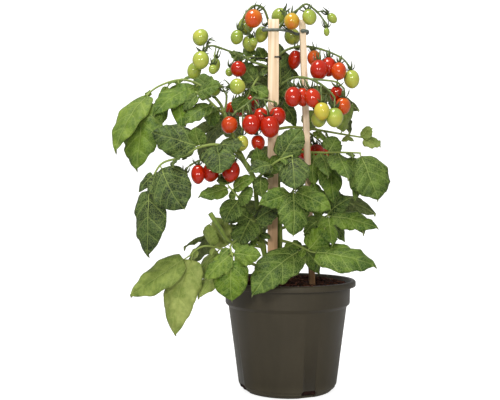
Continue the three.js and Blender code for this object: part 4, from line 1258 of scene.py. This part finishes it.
# %% [markdown]
# ## Leaves
#
# A compound leaf is a stalk with leaflets on both sides and one at its tip. A flat card cut to the outline
# of a leaf would be light, but it would look like paper at this distance. So each leaflet starts as a flat
# grid. Its rows are swept forward, and each row is as long as the outline is wide there: a slow swell and
# a quick fall for each lobe, with smaller teeth between. Side veins leave the midrib slantwise and curve
# forward. Then the blade is bent: it arches along its midrib, folds along it, puffs up between its veins
# and waves at its edge. One dry leaf at the right is crumpled: it is folded, rolled and shaken more than
# the others. Solidify gives a blade its thickness, and what it adds is the paler underside.


# %% Outline of a leaflet
def body_width(s):
    """The outline without its lobes: a round base, broadest at a third of the way, and a pointed tip."""
    return max(math.sin(math.pi * min(s, 0.999) ** 0.62), 0) ** (0.55 + 0.25 * s)


def cut_in(t):
    """From 0 at the point of a lobe to 1 between two lobes: out of it slowly, and quickly back in."""
    t %= 1
    return 1 - min(t / 0.72, (1 - t) / 0.28)


def half_width(s, lobes, depth, shift):
    """Half the blade's width at a share of its length, where 1 is the widest."""
    uneven = s * lobes + 0.3 * math.sin(5 * s + 6 * shift) + shift
    lobed = 1 - depth * (1 - 0.4 * s) * cut_in(uneven)
    toothed = 1 - 0.3 * depth * cut_in(2.3 * uneven)
    return body_width(s) * lobed * toothed


# %% Which way a leaflet faces
PLANT_AXIS = Vector((-12, -20, 0)) * MM
NEAR_LIGHT, UPWARD = 1.6, 0.55


def leaflet_frame(base, tip, light, roll):
    """The way a leaflet points, the way its top faces and the way to its side."""
    ahead = (tip - base).normalized()
    middle = (base + tip) / 2 - PLANT_AXIS
    face = Vector((middle.x, middle.y, 0)).normalized()
    face.y -= light
    face.z = UPWARD * (1 + light)
    face = (face - ahead * face.dot(ahead)).normalized()
    face.rotate(Matrix.Rotation(roll, 3, ahead))
    return ahead, face, ahead.cross(face)


# %% Shape one leaflet
BROAD_FROM, TINY = 27, 16
BROAD_GRID, COMMON_GRID, TINY_GRID = (14, 48), (10, 30), (6, 16)
BOW, FOLD, NECK = 0.07, 0.2, 0.09
PUFF, GROOVE, SHAKE = 0.07, 0.06, 1.3
BLADE = 0.45 * MM


def add_leaflet(bm, base, tip, width, light, tone, crumple):
    """Adds one blade and returns its upper faces and the way of its stalk and midrib."""
    uv, shade = bm.loops.layers.uv["blade"], bm.verts.layers.float["tone"]
    length, half = (tip - base).length, width / 2 * MM
    ahead, face, aside = leaflet_frame(base, tip, light, between(-0.25, 0.25) * (1 + 2 * crumple))
    broad = width >= BROAD_FROM
    lobes = between(4, 5.5) if broad else between(3, 4.5)
    depth = between(0.02, 0.17) if broad else between(0.02, 0.15)
    across, rows = BROAD_GRID if broad else COMMON_GRID if width > TINY else TINY_GRID
    bend, wave, phase = between(-0.05, 0.05), between(0.05, 0.14), between(0, 6)
    fold, droop = FOLD * between(0.3, 1.8) * (1 + 1.5 * crumple), between(0, 0.05)
    shifts = {-1: between(0, 1), 0: 0, 1: between(0, 1)}
    drift = Vector((between(0, 50), between(0, 50), between(0, 50)))

    def spread(s, w):
        """How far out from the midrib and how far forward, in metres, and the number of the side vein."""
        out = max(half * half_width(s, lobes, depth, shifts[(w > 0) - (w < 0)]), 0.2 * MM) * abs(w)
        forward = (NECK + (1 - NECK) * s) * length + (0.7 * s - 0.05) * out * (1 - s) ** 0.3
        return out, forward, lobes * ((forward - 0.6 * out) / length - 0.45 * out**2 / (half * length))

    def spot(s, w):
        out, forward, vein = spread(s, w)
        share = NECK + (1 - NECK) * s
        puff = PUFF * half * abs(math.sin(math.pi * vein)) * min(4 * abs(w), 1) * (1 - abs(w) ** 3)
        swing = math.sin(3.4 * vein + phase * (1 if w > 0 else 1.7))
        ruffle = wave * half * body_width(s) * abs(w) ** 2.5 * swing
        groove = GROOVE * half * math.exp(-((w / 0.13) ** 2))
        up = BOW * length * 4 * share * (1 - share) - fold * out * abs(w) ** 0.3 + puff + ruffle - groove
        point = base + ahead * forward + face * (up - droop * length * s**3)
        point += aside * (math.copysign(out, w) + bend * length * math.sin(math.pi * s))
        shake = (SHAKE + 2 * crumple) * MM * math.sin(math.pi * s) ** 0.5
        return point + noise.noise_vector(point * 55 * (1 + 0.5 * crumple) + drift) * shake

    known = set(bm.faces)
    made = bmesh.ops.create_grid(bm, x_segments=across, y_segments=rows, size=0.5)["verts"]
    places = {}
    for vert in made:
        s, w = vert.co.y + 0.5, vert.co.x * 2
        out, _, vein = spread(s, w)
        vert[shade] = tone
        places[vert] = (out * 100, vein)
        vert.co = spot(s, w)
    top = [blade for blade in bm.faces if blade not in known]
    for blade in top:
        for corner in blade.loops:
            corner[uv].uv = places[corner.vert]
    under = [spot(s, 0) - face * 0.5 * MM for s in (0.02, 0.15, 0.3, 0.45, 0.6, 0.75, 0.88)]
    points = [base, base.lerp(under[0], 0.5), *under]
    radii = [(0.95 - 0.09 * i) * MM * min(width / 30, 1) for i in range(len(points))]
    return top, (points, radii, 2)


# %% Leaves on the far side grow by a rule
def far_leaf(start, heading, reach, rise, size):
    """A stalk that arches away from the stem, with a leaflet at its tip and two pairs beside it."""
    turn = math.radians(heading)

    def out(distance, lift, sideways=0.0):
        return (start[0] + math.cos(turn) * distance - math.sin(turn) * sideways,
                start[1] + math.sin(turn) * distance + math.cos(turn) * sideways, start[2] + lift)

    stalk = [start, out(reach * 0.3, rise * 0.7), out(reach * 0.65, rise), out(reach, rise * 0.8)]
    leaflets = [(1, *out(reach + size * 0.8, rise * 0.8 - size * 0.8), size * 0.66)]
    for hand in (-1, 1):
        outer = out(reach + size * 0.25, rise * 0.8 - size * 0.3, hand * size * 0.8)
        inner = out(reach * 0.7, rise - size * 0.2, hand * size * 0.9)
        leaflets += [(0.9, *outer, size * 0.5), (0.58, *inner, size * 0.5)]
    return {"stalk": stalk, "leaflets": leaflets}


# %% Small leaflets between the large ones
SMALL_LEAFLETS = 4


def small_leaflets(leaf, many):
    """Small leaflets along a stalk: each hangs out to one side of it, a little forward."""
    rows = []
    for index in range(many):
        share = 0.2 + 0.75 * (index + between(0, 0.8)) / many
        start, next_stop = along(leaf["stalk"], share), along(leaf["stalk"], share + 0.04)
        ahead = (next_stop - start).normalized()
        hand = 1 if index % 2 else -1
        aside = ahead.cross(Vector((0, 0, 1))).normalized() * hand
        tip = start / MM + (aside * between(0.6, 1) + ahead * between(0.1, 0.6)) * between(13, 20)
        rows.append((share, tip.x, tip.y - between(0, 8), tip.z - between(3, 12), between(9, TINY)))
    return rows


# %% Make a leaf
LEAF_STALK_THICK, LEAF_STALK_THIN = 2.2, 1.1


def make_leaf(name, leaf, light, tone):
    bm = bmesh.new()
    bm.loops.layers.uv.new("blade")
    bm.verts.layers.float.new("tone")
    steps = 10 * (len(leaf["stalk"]) - 1)
    stalk = walk(leaf["stalk"], steps)
    radii = taper(LEAF_STALK_THICK, LEAF_STALK_THIN, steps)
    radii[0] *= 1.3
    radii[1] *= 1.15
    radii[-1] *= 0.6
    ways, blades = [(stalk, radii, 2)], []
    for share, x, y, z, width in [*leaf["leaflets"], *small_leaflets(leaf, SMALL_LEAFLETS)]:
        top, rib = add_leaflet(bm, along(leaf["stalk"], share), Vector((x, y, z)) * MM, width, light,
                               min(max(tone + between(-0.35, 0.3), 0), 2), CRUMPLED.get(name, 0))
        blades += top
        ways.append(rib)
    upper = set(blades)
    bmesh.ops.solidify(bm, geom=blades, thickness=BLADE)
    for face in bm.faces:
        face.material_index = 0 if face in upper else 1
    add_stalks(bm, ways, 2)
    finished(name.replace("leaf", "foliage"), bm, [LEAF_TOP, LEAF_UNDER, STALK_GREEN], [name])


# %% Make all leaves
# Leaves on the far side get a dark tone, which is painted shade.
FAR_LEAF_SHADE_TONE = 0.1

for name, leaf in LEAVES.items():
    make_leaf(name, leaf, NEAR_LIGHT, LEAF_TONE_AND_SHADE[name])
for name, rule in FAR_LEAVES.items():
    make_leaf(name, far_leaf(*rule), 0, FAR_LEAF_SHADE_TONE)

# %% [markdown]
# ## Sizes and the end
#
# The model's box and the dressed plant's box are printed side by side, axis by axis. The dressed plant
# has to stay inside the model's box.

# %% Write the boxes and finish
seen_box = [list(corner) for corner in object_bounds()]
for axis, low, high, seen_low, seen_high in zip("XYZ", *cad_box, *seen_box):
    print(f"{axis}: model {low:.4f} to {high:.4f}, dressed {seen_low:.4f} to {seen_high:.4f}")
